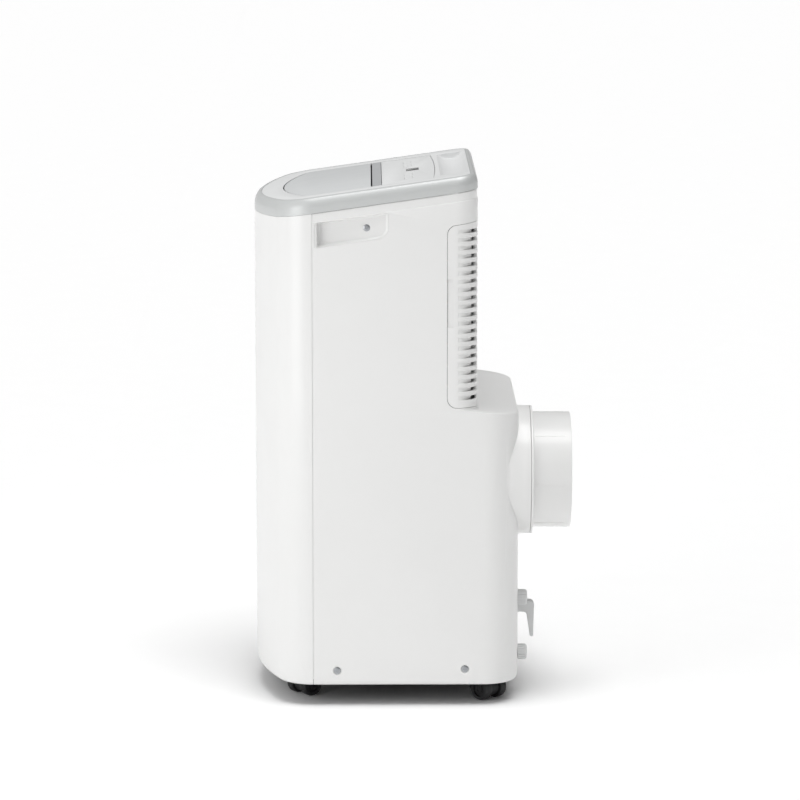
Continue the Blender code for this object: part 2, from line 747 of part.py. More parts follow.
# ---------------------------------------------------------------- control panel
def make_control_panel():
    half = WIDTH / 2 - OPENING_INSET - GAP * 2
    high = TOP_HEIGHT - PANEL_RECESS
    low = high - PANEL_THICKNESS
    steps = 8
    rear = [half - 2 * half * i / steps for i in range(steps + 1)]
    outline = [(-half, LIP_REAR_Y + GAP * 2), (half, LIP_REAR_Y + GAP * 2)]
    outline += [(x, panel_edge(x)) for x in rear]
    panel = extruded("control_panel", outline, low, high, finish="white_trim", slanted=True)
    width, depth = DISPLAY_SIZE
    holes = [((-width / 2, -depth / 2, low - 0.01), (width / 2, depth / 2, high + 0.01))]
    for x in BUTTON_X.values():
        a, b = BUTTON_SIZE[0] / 2 + 0.0004, BUTTON_SIZE[1] / 2 + 0.0004
        holes.append(((x - a, BUTTON_Y - b, low - 0.01), (x + a, BUTTON_Y + b, high + 0.01)))
    carve(panel, boxes("panel_holes", holes, slanted=True))

    box(
        "display_lens",
        (-width / 2 + GAP, -depth / 2 + GAP, low),
        (width / 2 - GAP, depth / 2 - GAP, high - GAP),
        "dark_glass",
        slanted=True,
    )
    for name, x in BUTTON_X.items():
        a, b = BUTTON_SIZE[0] / 2, BUTTON_SIZE[1] / 2
        button = box(name, (x - a, BUTTON_Y - b, low - 0.003), (x + a, BUTTON_Y + b, high + 0.0002), "white_trim", True)
        flange = box(
            name + "_flange",
            (x - a - 0.002, BUTTON_Y - b - 0.002, low - 0.003),
            (x + a + 0.002, BUTTON_Y + b + 0.002, low - GAP),
            slanted=True,
        )
        weld_on(button, flange)
        move_origin(button, (x, BUTTON_Y, shoulder(BUTTON_Y) + low))
    board = box(
        "control_board",
        (-half + 0.020, LIP_REAR_Y + 0.006, low - 0.0062),
        (half - 0.020, PANEL_REAR_Y - 0.008, low - 0.0046),
        "board_green",
        slanted=True,
    )
    return panel, board


# ---------------------------------------------------------------- inlet grille and filter
def make_inlet_grille():
    plan = rear_plan(UPPER_REAR_Y, UPPER_CORNER_RADIUS, corner_steps=3, start_y=GRILLE_FRONT_Y - 0.004)
    sections = [at_height(plan, GRILLE_BOTTOM_Z - 0.004), on_slope(plan, -GRILLE_TOP_DROP + 0.004)]
    grille = lofted("inlet_grille", sections, WALL, "white_shell")
    boolean(grille, grille_block("grille_trim", 0.0005), "INTERSECT")
    pitch = (LOUVRE_LAST_Z - LOUVRE_FIRST_Z) / (LOUVRE_COUNT - 1)
    slots = []
    for row in range(LOUVRE_COUNT):
        z = LOUVRE_FIRST_Z + row * pitch
        slots.append(
            ((-WIDTH, LOUVRE_FRONT_Y, z - LOUVRE_OPEN / 2), (WIDTH, UPPER_REAR_Y + 0.01, z + LOUVRE_OPEN / 2))
        )
    carve(grille, boxes("louvre_slots", slots))
    low, high = GRILLE_BOTTOM_Z + 0.004, LOUVRE_LAST_Z + LOUVRE_OPEN
    ribs = [
        box(
            f"grille_rib_{number}",
            (x - RIB_SIZE / 2, UPPER_REAR_Y - WALL - RIB_SIZE, low),
            (x + RIB_SIZE / 2, UPPER_REAR_Y - WALL + 0.001, high),
        )
        for number, x in enumerate((-0.080, 0.0, 0.080))
    ]
    weld_on(grille, *ribs)
    notches = [
        ((side * WIDTH / 2 - 0.005, GRILLE_FRONT_Y - 0.01, NOTCH_Z[0]), (side * WIDTH / 2 + 0.005, GRILLE_FRONT_Y + NOTCH_DEPTH, NOTCH_Z[1]))
        for side in (1, -1)
    ]
    carve(grille, boxes("grille_notches", notches))
    return grille


def make_air_filter():
    """A frame with thin mesh left in its windows."""
    low, high = FILTER_BOX
    frame = box("air_filter", low, high, "filter_mesh")
    border, bar, mesh = 0.010, 0.005, 0.0010
    columns, rows = 4, 2
    width = (high[0] - low[0] - 2 * border + bar) / columns
    height = (high[2] - low[2] - 2 * border + bar) / rows
    middle = (low[1] + high[1]) / 2
    windows = []
    for column in range(columns):
        for row in range(rows):
            x, z = low[0] + border + column * width, low[2] + border + row * height
            for near, far in ((low[1] - 0.01, middle - mesh / 2), (middle + mesh / 2, high[1] + 0.01)):
                windows.append(((x, near, z), (x + width - bar, far, z + height - bar)))
    carve(frame, boxes("filter_windows", windows))
    return frame


# ---------------------------------------------------------------- handles and screws
def handle_opening(side):
    low, high = HANDLE_Y[0], HANDLE_Y[1]
    xs = sorted((side * (WIDTH / 2 - 0.02), side * (WIDTH / 2 + 0.02)))
    opening = box(f"handle_opening_{side}", (xs[0], low, HANDLE_DROP[0]), (xs[1], high, HANDLE_DROP[1]), slanted=True)
    return opening


def make_handle_cup(name, side):
    """A pocket behind the side wall, deepest at its front end, for the fingers."""
    face = WIDTH / 2 - WALL - GAP
    back = face - HANDLE_DEPTH - 0.002
    margin = 0.003
    xs = sorted((side * back, side * face))
    cup = box(
        name,
        (xs[0], HANDLE_Y[0] - margin + 0.001, HANDLE_DROP[0] - margin),
        (xs[1], HANDLE_Y[1] + margin, HANDLE_DROP[1] + margin),
        "white_shell",
        slanted=True,
    )
    outer = WIDTH / 2 + 0.004
    floor = WIDTH / 2 - HANDLE_DEPTH
    outline = [
        (outer, HANDLE_Y[0]),
        (face, HANDLE_Y[0]),
        (floor, HANDLE_Y[0] + 0.008),
        (floor + 0.007, HANDLE_Y[1] - 0.012),
        (floor + 0.0095, HANDLE_Y[1] - 0.004),
        (face, HANDLE_Y[1]),
        (outer, HANDLE_Y[1]),
    ]
    if side < 0:
        outline = [(-x, y) for x, y in reversed(outline)]
    pocket = extruded(name + "_pocket", outline, HANDLE_DROP[0], HANDLE_DROP[1], slanted=True)
    carve(cup, pocket)
    floor_x = handle_floor_x(HANDLE_SCREW_Y)
    axis = "X" if side > 0 else "-X"
    z = handle_screw_z()
    seat = cylinder(
        name + "_seat", SCREW_HEAD_RADIUS + 0.0006, (side * (floor_x - 0.0022), HANDLE_SCREW_Y, z), 0.02, axis, 12
    )
    hole = cylinder(
        name + "_hole", SCREW_SHANK_RADIUS + 0.0004, (side * (back - 0.01), HANDLE_SCREW_Y, z), 0.03, axis, 12
    )
    carve(cup, seat, hole)
    return cup


def handle_floor_x(y):
    """Depth of the handle pocket's sloping floor at a place along it."""
    floor = WIDTH / 2 - HANDLE_DEPTH
    start, end = HANDLE_Y[0] + 0.008, HANDLE_Y[1] - 0.012
    return floor + 0.007 * (y - start) / (end - start)


def handle_screw_z():
    return shoulder(HANDLE_SCREW_Y) + (HANDLE_DROP[0] + HANDLE_DROP[1]) / 2


def make_screw(name, face_x, y, z, side):
    """A pan-head screw that points into the body, with its head's top at face_x."""
    radius, height, shank = SCREW_HEAD_RADIUS, SCREW_HEAD_HEIGHT, SCREW_SHANK_RADIUS
    profile = [(0, height), (radius * 0.7, height), (radius, height * 0.45), (radius, 0), (shank, 0), (shank, -0.009), (0, -0.0105)]
    return turned(name, profile, (side * (face_x - height), y, z), "X" if side > 0 else "-X", 10, "screw_steel")


def make_handles_and_screws():
    for side, word in ((1, "right"), (-1, "left")):
        make_handle_cup(f"handle_cup_{word}", side)
        seat = handle_floor_x(HANDLE_SCREW_Y) - 0.0022 + GAP + SCREW_HEAD_HEIGHT
        make_screw(f"handle_screw_{word}", seat, HANDLE_SCREW_Y, handle_screw_z(), side)
        for place, (y, z) in zip(("front", "rear"), SIDE_SCREWS):
            make_screw(f"side_screw_{word}_{place}", WIDTH / 2, y, z, side)


# ---------------------------------------------------------------- exhaust, drains, hook, gland
def make_duct_adapter():
    """The spigot for the exhaust hose: a collar in the boss, a flange against it and the open tube."""
    tube_inner = SPIGOT_RADIUS - SPIGOT_WALL
    collar = BOSS_RADIUS - BOSS_WALL - GAP * 2
    bore = min(tube_inner, collar - SPIGOT_WALL)
    face = BOSS_END_Y + GAP
    flange = face + FLANGE_THICKNESS
    profile = [
        (bore, face - COLLAR_LENGTH),
        (bore, SPIGOT_END_Y),
        (SPIGOT_RADIUS - 0.0012, SPIGOT_END_Y),
        (SPIGOT_RADIUS, SPIGOT_END_Y - 0.001),
        (SPIGOT_RADIUS, flange),
        (BOSS_RADIUS, flange),
        (BOSS_RADIUS, face),
        (collar, face),
        (collar, face - COLLAR_LENGTH),
        (bore, face - COLLAR_LENGTH),
    ]
    return turned("duct_adapter", profile, (EXHAUST_X, 0, EXHAUST_Z), "Y", 32, "white_shell")


def make_exhaust_guard():
    """A round guard of upright bars behind the adapter."""
    radius = BOSS_RADIUS - BOSS_WALL - GAP * 2
    depth = 0.004
    guard = cylinder("exhaust_guard", radius, (EXHAUST_X, GUARD_Y, EXHAUST_Z), depth, "Y", 32, "grey_plastic")
    rim, bar, count = 0.004, 0.003, 9
    pitch = 2 * (radius - rim) / count
    slots = []
    for number in range(count):
        x = -radius + rim + number * pitch
        far = max(abs(x), abs(x + pitch - bar))
        half = sqrt(max((radius - rim) ** 2 - far**2, 0.006**2))
        for low, high in ((-half, -bar / 2), (bar / 2, half)):
            slots.append(
                (
                    (EXHAUST_X + x, GUARD_Y - 0.01, EXHAUST_Z + low),
                    (EXHAUST_X + x + pitch - bar, GUARD_Y + 0.02, EXHAUST_Z + high),
                )
            )
    carve(guard, boxes("guard_slots", slots))
    return guard


def make_drain_cap(name):
    """A screw cap with a ribbed rim that closes over a drain stub."""
    sides = 24
    start = LOWER_REAR_Y + GAP * 3
    outline = []
    for i in range(sides):
        radius = CAP_RADIUS if i % 2 else CAP_RADIUS - 0.0007
        outline.append((radius * cos(2 * pi * i / sides), radius * sin(2 * pi * i / sides)))
    place = Matrix.Translation((CAP_X, 0, CAP_Z[name])) @ AXIS_TURN["Y"]
    cap = extruded(name, outline, start, start + CAP_LENGTH, place, "white_trim")
    pocket = cylinder(
        name + "_pocket", STUB_RADIUS + 0.0006, (CAP_X, start - 0.01, CAP_Z[name]), 0.01 + STUB_PROUD, "Y", 16
    )
    carve(cap, pocket)
    move_origin(cap, (CAP_X, start, CAP_Z[name]))
    return cap


def make_cord_hook():
    """A hook that points down, for winding up the mains lead."""
    face = LOWER_REAR_Y + GAP
    reach, arm_top, arm_low, tip = 0.0235, 0.1130, 0.0985, 0.0660
    inner = face + reach - 0.0095
    outline = [
        (face, arm_low - 0.004),
        (face + 0.003, arm_low),
        (inner - 0.003, arm_low),
        (inner, arm_low - 0.003),
        (inner + 0.0040, tip),
        (face + reach - 0.0008, tip),
        (face + reach, arm_top - 0.004),
        (face + reach - 0.003, arm_top),
        (face + 0.003, arm_top),
        (face, arm_top + 0.004),
    ]
    across = Matrix(((0, 0, 1, 0), (1, 0, 0, 0), (0, 1, 0, 0), (0, 0, 0, 1)))
    return extruded("cord_hook", outline, HOOK_X - HOOK_WIDTH / 2, HOOK_X + HOOK_WIDTH / 2, across, "white_trim")


def make_cord_gland():
    """The bush that the mains lead would leave through."""
    face = LOWER_REAR_Y + GAP
    hole, neck = 0.0035, GLAND_RADIUS - 0.003 - GAP * 2
    profile = [
        (hole, face - 0.010),
        (hole, face + 0.006),
        (GLAND_RADIUS - 0.0025, face + 0.006),
        (GLAND_RADIUS, face + 0.002),
        (GLAND_RADIUS, face),
        (neck, face),
        (neck, face - 0.010),
        (hole, face - 0.010),
    ]
    return turned("cord_gland", profile, (GLAND_X, 0, GLAND_Z), "Y", 16, "black_plastic")


# ---------------------------------------------------------------- base and casters
def pan_plan(inset=0.0):
    front = nosed(front_plan(WALL + PAN_CLEARANCE + inset, 4, 4), PAN_FLOOR_Z - 0.0035)
    rear = rear_plan(LOWER_REAR_Y, LOWER_CORNER_RADIUS, WALL + PAN_CLEARANCE + inset, 4)
    return front + rear[1:-1]


def make_base_pan():
    pan = extruded("base_pan", pan_plan(), PAN_FLOOR_Z, PAN_TOP_Z, finish="black_plastic")
    sump = box("sump_block", (-SUMP_X, SUMP_Y[0], SUMP_BOTTOM_Z), (SUMP_X, SUMP_Y[1], PAN_FLOOR_Z + 0.002))
    weld_on(pan, sump)
    carve(pan, extruded("pan_hollow", pan_plan(PAN_WALL), PAN_FLOOR_Z + PAN_WALL, PAN_TOP_Z + 0.01))
    wall = PAN_WALL
    hollow = box(
        "sump_hollow",
        (-SUMP_X + wall, SUMP_Y[0] + wall, SUMP_BOTTOM_Z + wall),
        (SUMP_X - wall, SUMP_Y[1] - wall, PAN_FLOOR_Z + 0.01),
    )
    carve(pan, hollow)
    for name, (x, y, _) in CASTERS.items():
        weld_on(pan, cylinder(name + "_boss", 0.009, (x, y, PAN_FLOOR_Z + 0.001), 0.014, "Z", 16))
        carve(pan, cylinder(name + "_stem_hole", STEM_RADIUS + 0.0003, (x, y, PAN_FLOOR_Z - 0.01), 0.022, "Z", 16))
    z = CAP_Z["drain_cap_lower"]
    inner = LOWER_REAR_Y - WALL - PAN_CLEARANCE - PAN_WALL / 2
    stub = cylinder("lower_stub", STUB_RADIUS, (CAP_X, inner, z), LOWER_REAR_Y + STUB_PROUD - inner, "Y", 16)
    bore = cylinder("lower_stub_bore", STUB_BORE, (CAP_X, inner - 0.01, z), 0.05, "Y", 16)
    weld_on(pan, stub)
    carve(pan, bore)
    for side in (1, -1):
        for number, (y, screw_z) in enumerate(SIDE_SCREWS):
            axis = "X" if side > 0 else "-X"
            start = (side * (WIDTH / 2 - 0.02), y, screw_z)
            carve(pan, cylinder(f"pan_hole_{side}_{number}", SCREW_SHANK_RADIUS + 0.0004, start, 0.02, axis, 12))
    return pan


def make_caster(name, x, y, heading):
    """A swivel yoke and the pair of wheels on one axle that trails behind its stem."""
    turn = Matrix.Rotation(radians(heading), 4, "Z")
    place = Matrix.Translation((x, y, 0)) @ turn
    plate = cylinder("caster_" + name, 0.0128, (0, 0, PLATE_Z), PLATE_THICKNESS, "Z", 20, "black_plastic")
    web_width = WHEEL_SPACING - WHEEL_WIDTH - 2 * 0.0008
    web = cylinder(name + "_web", 0.0118, (-web_width / 2, CASTER_TRAIL, WHEEL_RADIUS), web_width, "X", 20)
    neck = box(name + "_neck", (-web_width / 2, CASTER_TRAIL - 0.009, WHEEL_RADIUS), (web_width / 2, CASTER_TRAIL + 0.006, PLATE_Z + 0.0008))
    stem = cylinder(name + "_stem", STEM_RADIUS, (0, 0, PLATE_Z + 0.0018), 0.014, "Z", 16)
    hole = cylinder(name + "_axle_hole", 0.0023, (-0.05, CASTER_TRAIL, WHEEL_RADIUS), 0.1, "X", 12)
    for piece in (web, neck, stem, hole):
        piece.data.transform(place)
    plate.data.transform(turn)
    plate.location = (x, y, 0)
    weld_on(plate, web, neck, stem)
    carve(plate, hole)

    inner, outer = (WHEEL_SPACING - WHEEL_WIDTH) / 2, (WHEEL_SPACING + WHEEL_WIDTH) / 2
    rim = WHEEL_RADIUS / cos(pi / WHEEL_SIDES)
    axle = 0.002
    profile = [(0, outer), (rim * 0.86, outer), (rim, outer - 0.002), (rim, inner), (axle, inner)]
    profile += [(radius, -height) for radius, height in reversed(profile)]
    wheels = turned(
        "wheels_" + name, profile, (0, 0, 0), "Z", WHEEL_SIDES, "black_plastic", 0.0
    )
    wheels.matrix_world = (
        place
        @ Matrix.Translation((0, CASTER_TRAIL, WHEEL_RADIUS))
        @ AXIS_TURN["X"]
        @ Matrix.Rotation(pi / WHEEL_SIDES, 4, "Z")
    )
    hold(plate, wheels)
    return plate, wheels


# ---------------------------------------------------------------- refrigeration and air handling
def make_mid_deck():
    """The drip tray between the two halves, with a hole for the suction line."""
    inset = WALL + 0.0025
    outline = front_plan(inset, 4, 4) + rear_plan(UPPER_REAR_Y - 0.002, UPPER_CORNER_RADIUS, inset, 4)[1:-1]
    inner = front_plan(inset + 0.002, 4, 4) + rear_plan(UPPER_REAR_Y - 0.002, UPPER_CORNER_RADIUS, inset + 0.002, 4)[1:-1]
    deck = extruded("mid_deck", outline, DECK_Z, DECK_Z + DECK_RIM, finish="grey_plastic")
    carve(deck, extruded("deck_hollow", inner, DECK_Z + DECK_THICKNESS, DECK_Z + 0.05))
    x, y = SUCTION_XY
    carve(deck, cylinder("suction_hole", 0.0085, (x, y, DECK_Z - 0.01), 0.03, "Z", 16))
    return deck


SUCTION_XY = (-0.150, 0.008)


def make_coil(stem, limits, rows, turn_side):
    """A fin pack with one serpentine tube through it."""
    low, high = Vector(limits[0]), Vector(limits[1])
    radius, clearance = 0.0045, 0.0004
    pitch = (high.z - low.z) / rows
    heights = [low.z + pitch * (row + 0.5) for row in range(rows)]
    y = (low.y + high.y) / 2
    outline = [(low.y, low.z), (high.y, low.z), (high.y, high.z), (low.y, high.z)]
    holes = [circle((y, z), (radius + clearance) / cos(pi / 12), 12) for z in heights]
    across = Matrix(((0, 0, 1, 0), (1, 0, 0, 0), (0, 1, 0, 0), (0, 0, 0, 1)))
    extruded(stem + "_fins", outline, low.x, high.x, across, "aluminium_fin", holes)
    run_out = 0.004
    bend = pitch / 2
    points = [(low.x - 0.008 * turn_side, y, heights[0])] if turn_side > 0 else [(high.x + 0.008, y, heights[0])]
    direction = turn_side
    for row, z in enumerate(heights):
        end = high.x + run_out if direction > 0 else low.x - run_out
        points.append((end, y, z))
        if row < rows - 1:
            for step in range(1, 4):
                angle = -pi / 2 + pi * step / 4
                points.append((end + direction * bend * cos(angle), y, z + bend + bend * sin(angle)))
            points.append((end, y, heights[row + 1]))
        direction = -direction
    return tube(stem + "_tube", points, radius, "copper")


def scroll_plan(smallest, largest, opening_half, top, steps=14):
    """A blower scroll about (0, 0) that grows clockwise from its tongue and opens upwards."""
    start, sweep = radians(20), radians(200)
    spiral = []
    for i in range(steps + 1):
        share = i / steps
        radius = smallest + (largest - smallest) * share
        angle = start - sweep * share
        spiral.append((radius * cos(angle), radius * sin(angle)))
    return [(-opening_half, top), (opening_half, top)] + spiral


def make_evaporator_blower():
    x, y, z = EVAP_FAN
    half = EVAP_SCROLL_DEPTH / 2
    wall = 0.002
    upright = Matrix(((1, 0, 0, x), (0, 0, 1, 0), (0, 1, 0, z), (0, 0, 0, 1)))
    smallest, largest = EVAP_WHEEL_RADIUS + 0.006, EVAP_WHEEL_RADIUS + 0.032
    top = EVAP_OUTLET_Z - z
    outer = scroll_plan(smallest + wall, largest + wall, 0.115, top)
    inner = scroll_plan(smallest, largest, 0.113, top + 0.01)
    housing = extruded("evaporator_scroll", outer, y - half, y + half, upright, "grey_plastic")
    hollow = extruded("evap_scroll_hollow", inner, y - half + wall, y + half - wall, upright)
    eye = cylinder("evap_scroll_eye", EVAP_WHEEL_RADIUS - 0.012, (x, y + half - 0.01, z), 0.02, "Y", 28)
    motor_hole = cylinder("evap_motor_hole", 0.016, (x, y - half - 0.01, z), 0.02, "Y", 20)
    carve(housing, hollow, eye, motor_hole)
    make_fan("evaporator_fan", EVAP_WHEEL_RADIUS, 0.058, (x, y - 0.028, z), "Y", 0.030)
    make_motor("evaporator_fan_motor", 0.040, 0.034, (x, y - half - 0.0005, z), "-Y")


def make_condenser_blower():
    x, y, z = COND_FAN
    half = COND_SCROLL_DEPTH / 2
    wall = 0.002
    lie = Matrix(((0, 0, 1, 0), (0, 1, 0, y), (-1, 0, 0, z), (0, 0, 0, 1)))
    smallest, largest = COND_WHEEL_RADIUS + 0.008, COND_WHEEL_RADIUS + 0.036
    reach = LOWER_REAR_Y - 0.026 - y
    outer = scroll_plan(smallest + wall, largest + wall, 0, reach)
    inner = scroll_plan(smallest, largest, 0, reach + 0.01)
    top_outer, top_inner = largest + wall, largest
    lowest = EXHAUST_Z - z - 0.066
    outer[0], outer[1] = (-top_outer, reach), (-lowest, reach)
    inner[0], inner[1] = (-top_inner, reach + 0.01), (-lowest - wall, reach + 0.01)
    housing = extruded("condenser_scroll", outer, x - half, x + half, lie, "grey_plastic")
    hollow = extruded("cond_scroll_hollow", inner, x - half + wall, x + half - wall, lie)
    eye = cylinder("cond_scroll_eye", COND_WHEEL_RADIUS - 0.014, (x - half - 0.01, y, z), 0.02, "X", 28)
    motor_hole = cylinder("cond_motor_hole", 0.016, (x + half - 0.01, y, z), 0.02, "X", 20)
    carve(housing, hollow, eye, motor_hole)
    make_fan("condenser_fan", COND_WHEEL_RADIUS, 0.070, (x + 0.034, y, z), "-X", 0.020)
    make_motor("condenser_fan_motor", 0.040, 0.026, (x + half + 0.0005, y, z), "X")


def make_fan(name, radius, length, place, axis, shaft):
    """A blower wheel: a back plate with its hub and shaft, and a slotted drum."""
    plate, rim, hub = 0.004, 0.010, 0.011
    shaft_radius = 0.004
    profile = [
        (0, plate + 0.012),
        (hub, plate + 0.012),
        (hub, plate),
        (radius - rim, plate),
        (radius - rim, length),
        (radius, length),
        (radius, 0),
        (shaft_radius, 0),
        (shaft_radius, -shaft),
        (0, -shaft),
    ]
    fan = turned(name, profile, place, axis, 2 * WHEEL_SLOTS, "grey_plastic", pi / (2 * WHEEL_SLOTS))
    width = 2 * pi * (radius - rim / 2) / WHEEL_SLOTS * 0.52
    bm = bmesh.new()
    for number in range(WHEEL_SLOTS):
        matrix = (
            Matrix.Rotation(2 * pi * number / WHEEL_SLOTS, 4, "Z")
            @ Matrix.Translation((radius - rim / 2, 0, (plate + length) / 2 + 0.001))
            @ Matrix.Diagonal((rim * 1.8, width, length - plate - 0.010, 1))
        )
        bmesh.ops.create_cube(bm, size=1.0, matrix=matrix)
    mesh = bpy.data.meshes.new(name + "_slots")
    bm.to_mesh(mesh)
    bm.free()
    mesh.transform(Matrix.Translation(place) @ AXIS_TURN[axis])
    carve(fan, add_object(name + "_slots", mesh))
    return fan


def make_motor(name, radius, length, place, axis):
    """A fan motor. Its face is at the place, its can runs along the axis, its bore takes the fan's shaft."""
    bore, neck, step = 0.0043, 0.014, 0.004
    profile = [
        (0, length),
        (radius * 0.6, length),
        (radius * 0.6, length - step),
        (radius, length - 2 * step),
        (radius, step),
        (neck, step),
        (neck, 0),
        (bore, 0),
        (bore, length * 0.7),
        (0, length * 0.7),
    ]
    return turned(name, profile, place, axis, 18, "motor_steel")


def make_compressor():
    """A rotary compressor can with its accumulator strapped to its side."""
    x, y = COMPRESSOR_XY
    radius, low, high = COMPRESSOR_RADIUS, PAN_FLOOR_Z + 0.019, 0.278
    wall = 0.013
    profile = [
        (0, high - wall),
        (0, high),
        (radius * 0.55, high - 0.004),
        (radius * 0.90, high - 0.018),
        (radius, high - 0.035),
        (radius, low + 0.010),
        (radius * 0.86, low),
        (radius - wall - 0.004, low),
        (radius - wall, low + 0.012),
        (radius - wall, high - 0.045),
        (0, high - wall - 0.018),
    ]
    can = turned("compressor", profile[1:], (x, y, 0), "Z", 24, "compressor_paint")
    accumulator = cylinder("accumulator", 0.024, (x - 0.030, y + 0.070, 0.110), 0.120, "Z", 16)
    bracket = box("accumulator_strap", (x - 0.034, y + 0.035, 0.170), (x - 0.026, y + 0.060, 0.184))
    feet = extruded(
        "compressor_feet",
        [(x + 1.18 * radius * cos(angle), y + 1.18 * radius * sin(angle)) for angle in (pi / 3, pi, 5 * pi / 3)],
        low + 0.004,
        low + 0.008,
    )
    bore = cylinder("compressor_inside", radius - wall - 0.002, (x, y, low - 0.01), 0.05, "Z", 28)
    weld_on(can, accumulator, bracket, feet)
    carve(can, bore)
    return can


def make_suction_line():
    x, y = SUCTION_XY
    top = EVAPORATOR[0][2] + 0.012
    cx, cy = COMPRESSOR_XY
    ax, ay = cx - 0.030, cy + 0.070
    points = [
        (ax, ay, 0.2305 + GAP),
        (ax, ay, 0.252),
        (ax - 0.004, ay + 0.004, 0.264),
        (x, y, 0.292),
        (x, y, top + 0.020),
        (x, y + 0.006, top + 0.028),
        (x, 0.028, top + 0.030),
        (x, 0.028, top + 0.060),
    ]
    return tube("suction_line", points, 0.0050, "copper")


def make_splasher():
    """The slinger that throws condensate on to the hot coil, and its small motor."""
    x, y, z = -0.070, 0.064, 0.078
    radius = 0.026
    outline = []
    for i in range(24):
        reach = radius if i % 4 < 2 else radius * 0.72
        outline.append((reach * cos(2 * pi * i / 24), reach * sin(2 * pi * i / 24)))
    place = Matrix.Translation((x, 0, z)) @ AXIS_TURN["Y"]
    wheel = extruded("splash_wheel", outline, y, y + 0.006, place, "white_trim")
    weld_on(wheel, cylinder("splash_shaft", 0.0025, (x, y + 0.001, z), 0.020, "-Y", 12))
    move_origin(wheel, (x, y, z))
    motor = cylinder("splash_motor", 0.016, (x, y - 0.006, z), 0.030, "-Y", 20, "motor_steel")
    carve(motor, cylinder("splash_bore", 0.0028, (x, y, z), 0.022, "-Y", 12))
    return wheel, motor


def make_electrical_box():
    low, high = (-0.016, -0.184, 0.120), (0.104, -0.152, 0.330)
    body = box("electrical_box", low, high, "motor_steel")
    carve(body, box("electrical_hollow", (low[0] + 0.002, low[1] + 0.002, low[2] + 0.002), (high[0] - 0.002, high[1] + 0.01, high[2] - 0.002)))
    return body


def build():
    make_front_cover()
    make_rear_cover()
    make_top_trim()
    make_top_cover()
    make_flap()
    make_outlet_duct()
    make_vanes()
    make_vane_link()
    make_flap_motor()
    make_control_panel()
    hold(make_inlet_grille(), make_air_filter())
    make_handles_and_screws()
    make_duct_adapter()
    make_exhaust_guard()
    for name in CAP_Z:
        make_drain_cap(name)
    make_cord_hook()
    make_cord_gland()
    make_base_pan()
    for name, (x, y, heading) in CASTERS.items():
        make_caster(name, x, y, heading)
    make_mid_deck()
    make_coil("evaporator", EVAPORATOR, 8, 1)
    make_coil("condenser", CONDENSER, 9, 1)
    make_evaporator_blower()
    make_condenser_blower()
    make_compressor()
    make_suction_line()
    make_splasher()
    make_electrical_box()
    centre_on_floor()


clear_scene()
PARTS = new_collection("portable_air_conditioner")
CUTTERS = new_collection("cutters")
build()
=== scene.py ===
"""Finished surfaces of a portable room air conditioner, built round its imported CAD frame.

Every piece is drawn in the casing's own frame: metres, +Z up, the front faces -Y and
the exhaust spigot leaves towards +Y. The workshop moves each finished mesh on to the frame.
"""

import json
import logging
from dataclasses import dataclass, field
from enum import Enum
from functools import partial
from math import asin, atan2, cos, hypot, pi, radians, sin, sqrt
from typing import Any, Callable, Iterable, Sequence

import bmesh
import bpy
from mathutils import Matrix, Vector

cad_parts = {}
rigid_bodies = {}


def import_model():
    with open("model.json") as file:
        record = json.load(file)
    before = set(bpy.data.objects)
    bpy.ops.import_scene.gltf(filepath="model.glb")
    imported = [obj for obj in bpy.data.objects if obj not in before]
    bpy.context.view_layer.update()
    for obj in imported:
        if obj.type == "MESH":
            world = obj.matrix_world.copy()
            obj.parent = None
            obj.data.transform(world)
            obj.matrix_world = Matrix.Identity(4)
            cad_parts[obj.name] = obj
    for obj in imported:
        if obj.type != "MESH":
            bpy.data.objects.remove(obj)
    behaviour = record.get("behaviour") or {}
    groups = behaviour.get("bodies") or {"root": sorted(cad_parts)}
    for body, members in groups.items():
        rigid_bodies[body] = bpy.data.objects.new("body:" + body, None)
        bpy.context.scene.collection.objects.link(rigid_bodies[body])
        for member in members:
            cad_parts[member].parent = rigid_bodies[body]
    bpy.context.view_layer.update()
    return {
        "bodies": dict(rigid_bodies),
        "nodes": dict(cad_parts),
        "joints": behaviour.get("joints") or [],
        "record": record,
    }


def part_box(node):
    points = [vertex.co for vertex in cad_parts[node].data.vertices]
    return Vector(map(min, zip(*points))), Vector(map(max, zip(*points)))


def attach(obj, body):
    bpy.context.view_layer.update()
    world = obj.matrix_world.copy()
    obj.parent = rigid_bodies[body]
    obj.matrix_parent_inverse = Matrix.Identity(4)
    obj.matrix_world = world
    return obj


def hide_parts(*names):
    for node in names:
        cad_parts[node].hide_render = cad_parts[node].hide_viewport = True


Point2 = tuple[float, float]
Point3 = tuple[float, float, float]
Inputs = dict[str | int, Any]
Piece = bpy.types.Object
Tree = bpy.types.NodeTree
Socket = bpy.types.NodeSocket
Lift = Callable[[float, float], float]

MM = 0.001
# Clearance between pieces that lie against each other, and the reach within which points are one.
GAP = 0.0003
MERGE = 0.00002
# Overshoot of a cutter past the surface that it cuts.
PAST = 0.01
# The wave texture's scale at which one wave is one unit long.
WAVE_SCALE = 0.3142
UP_FROM_AXIS = Matrix(((0, 0, 1, 0), (1, 0, 0, 0), (0, 1, 0, 0), (0, 0, 0, 1)))
TURN_TO = {
    "X": Matrix.Rotation(pi / 2, 4, "Y"),
    "-X": Matrix.Rotation(-pi / 2, 4, "Y"),
    "Y": Matrix.Rotation(-pi / 2, 4, "X"),
    "Z": Matrix.Identity(4),
}
SIDES = {1: "right", -1: "left"}

log = logging.getLogger("air_conditioner")


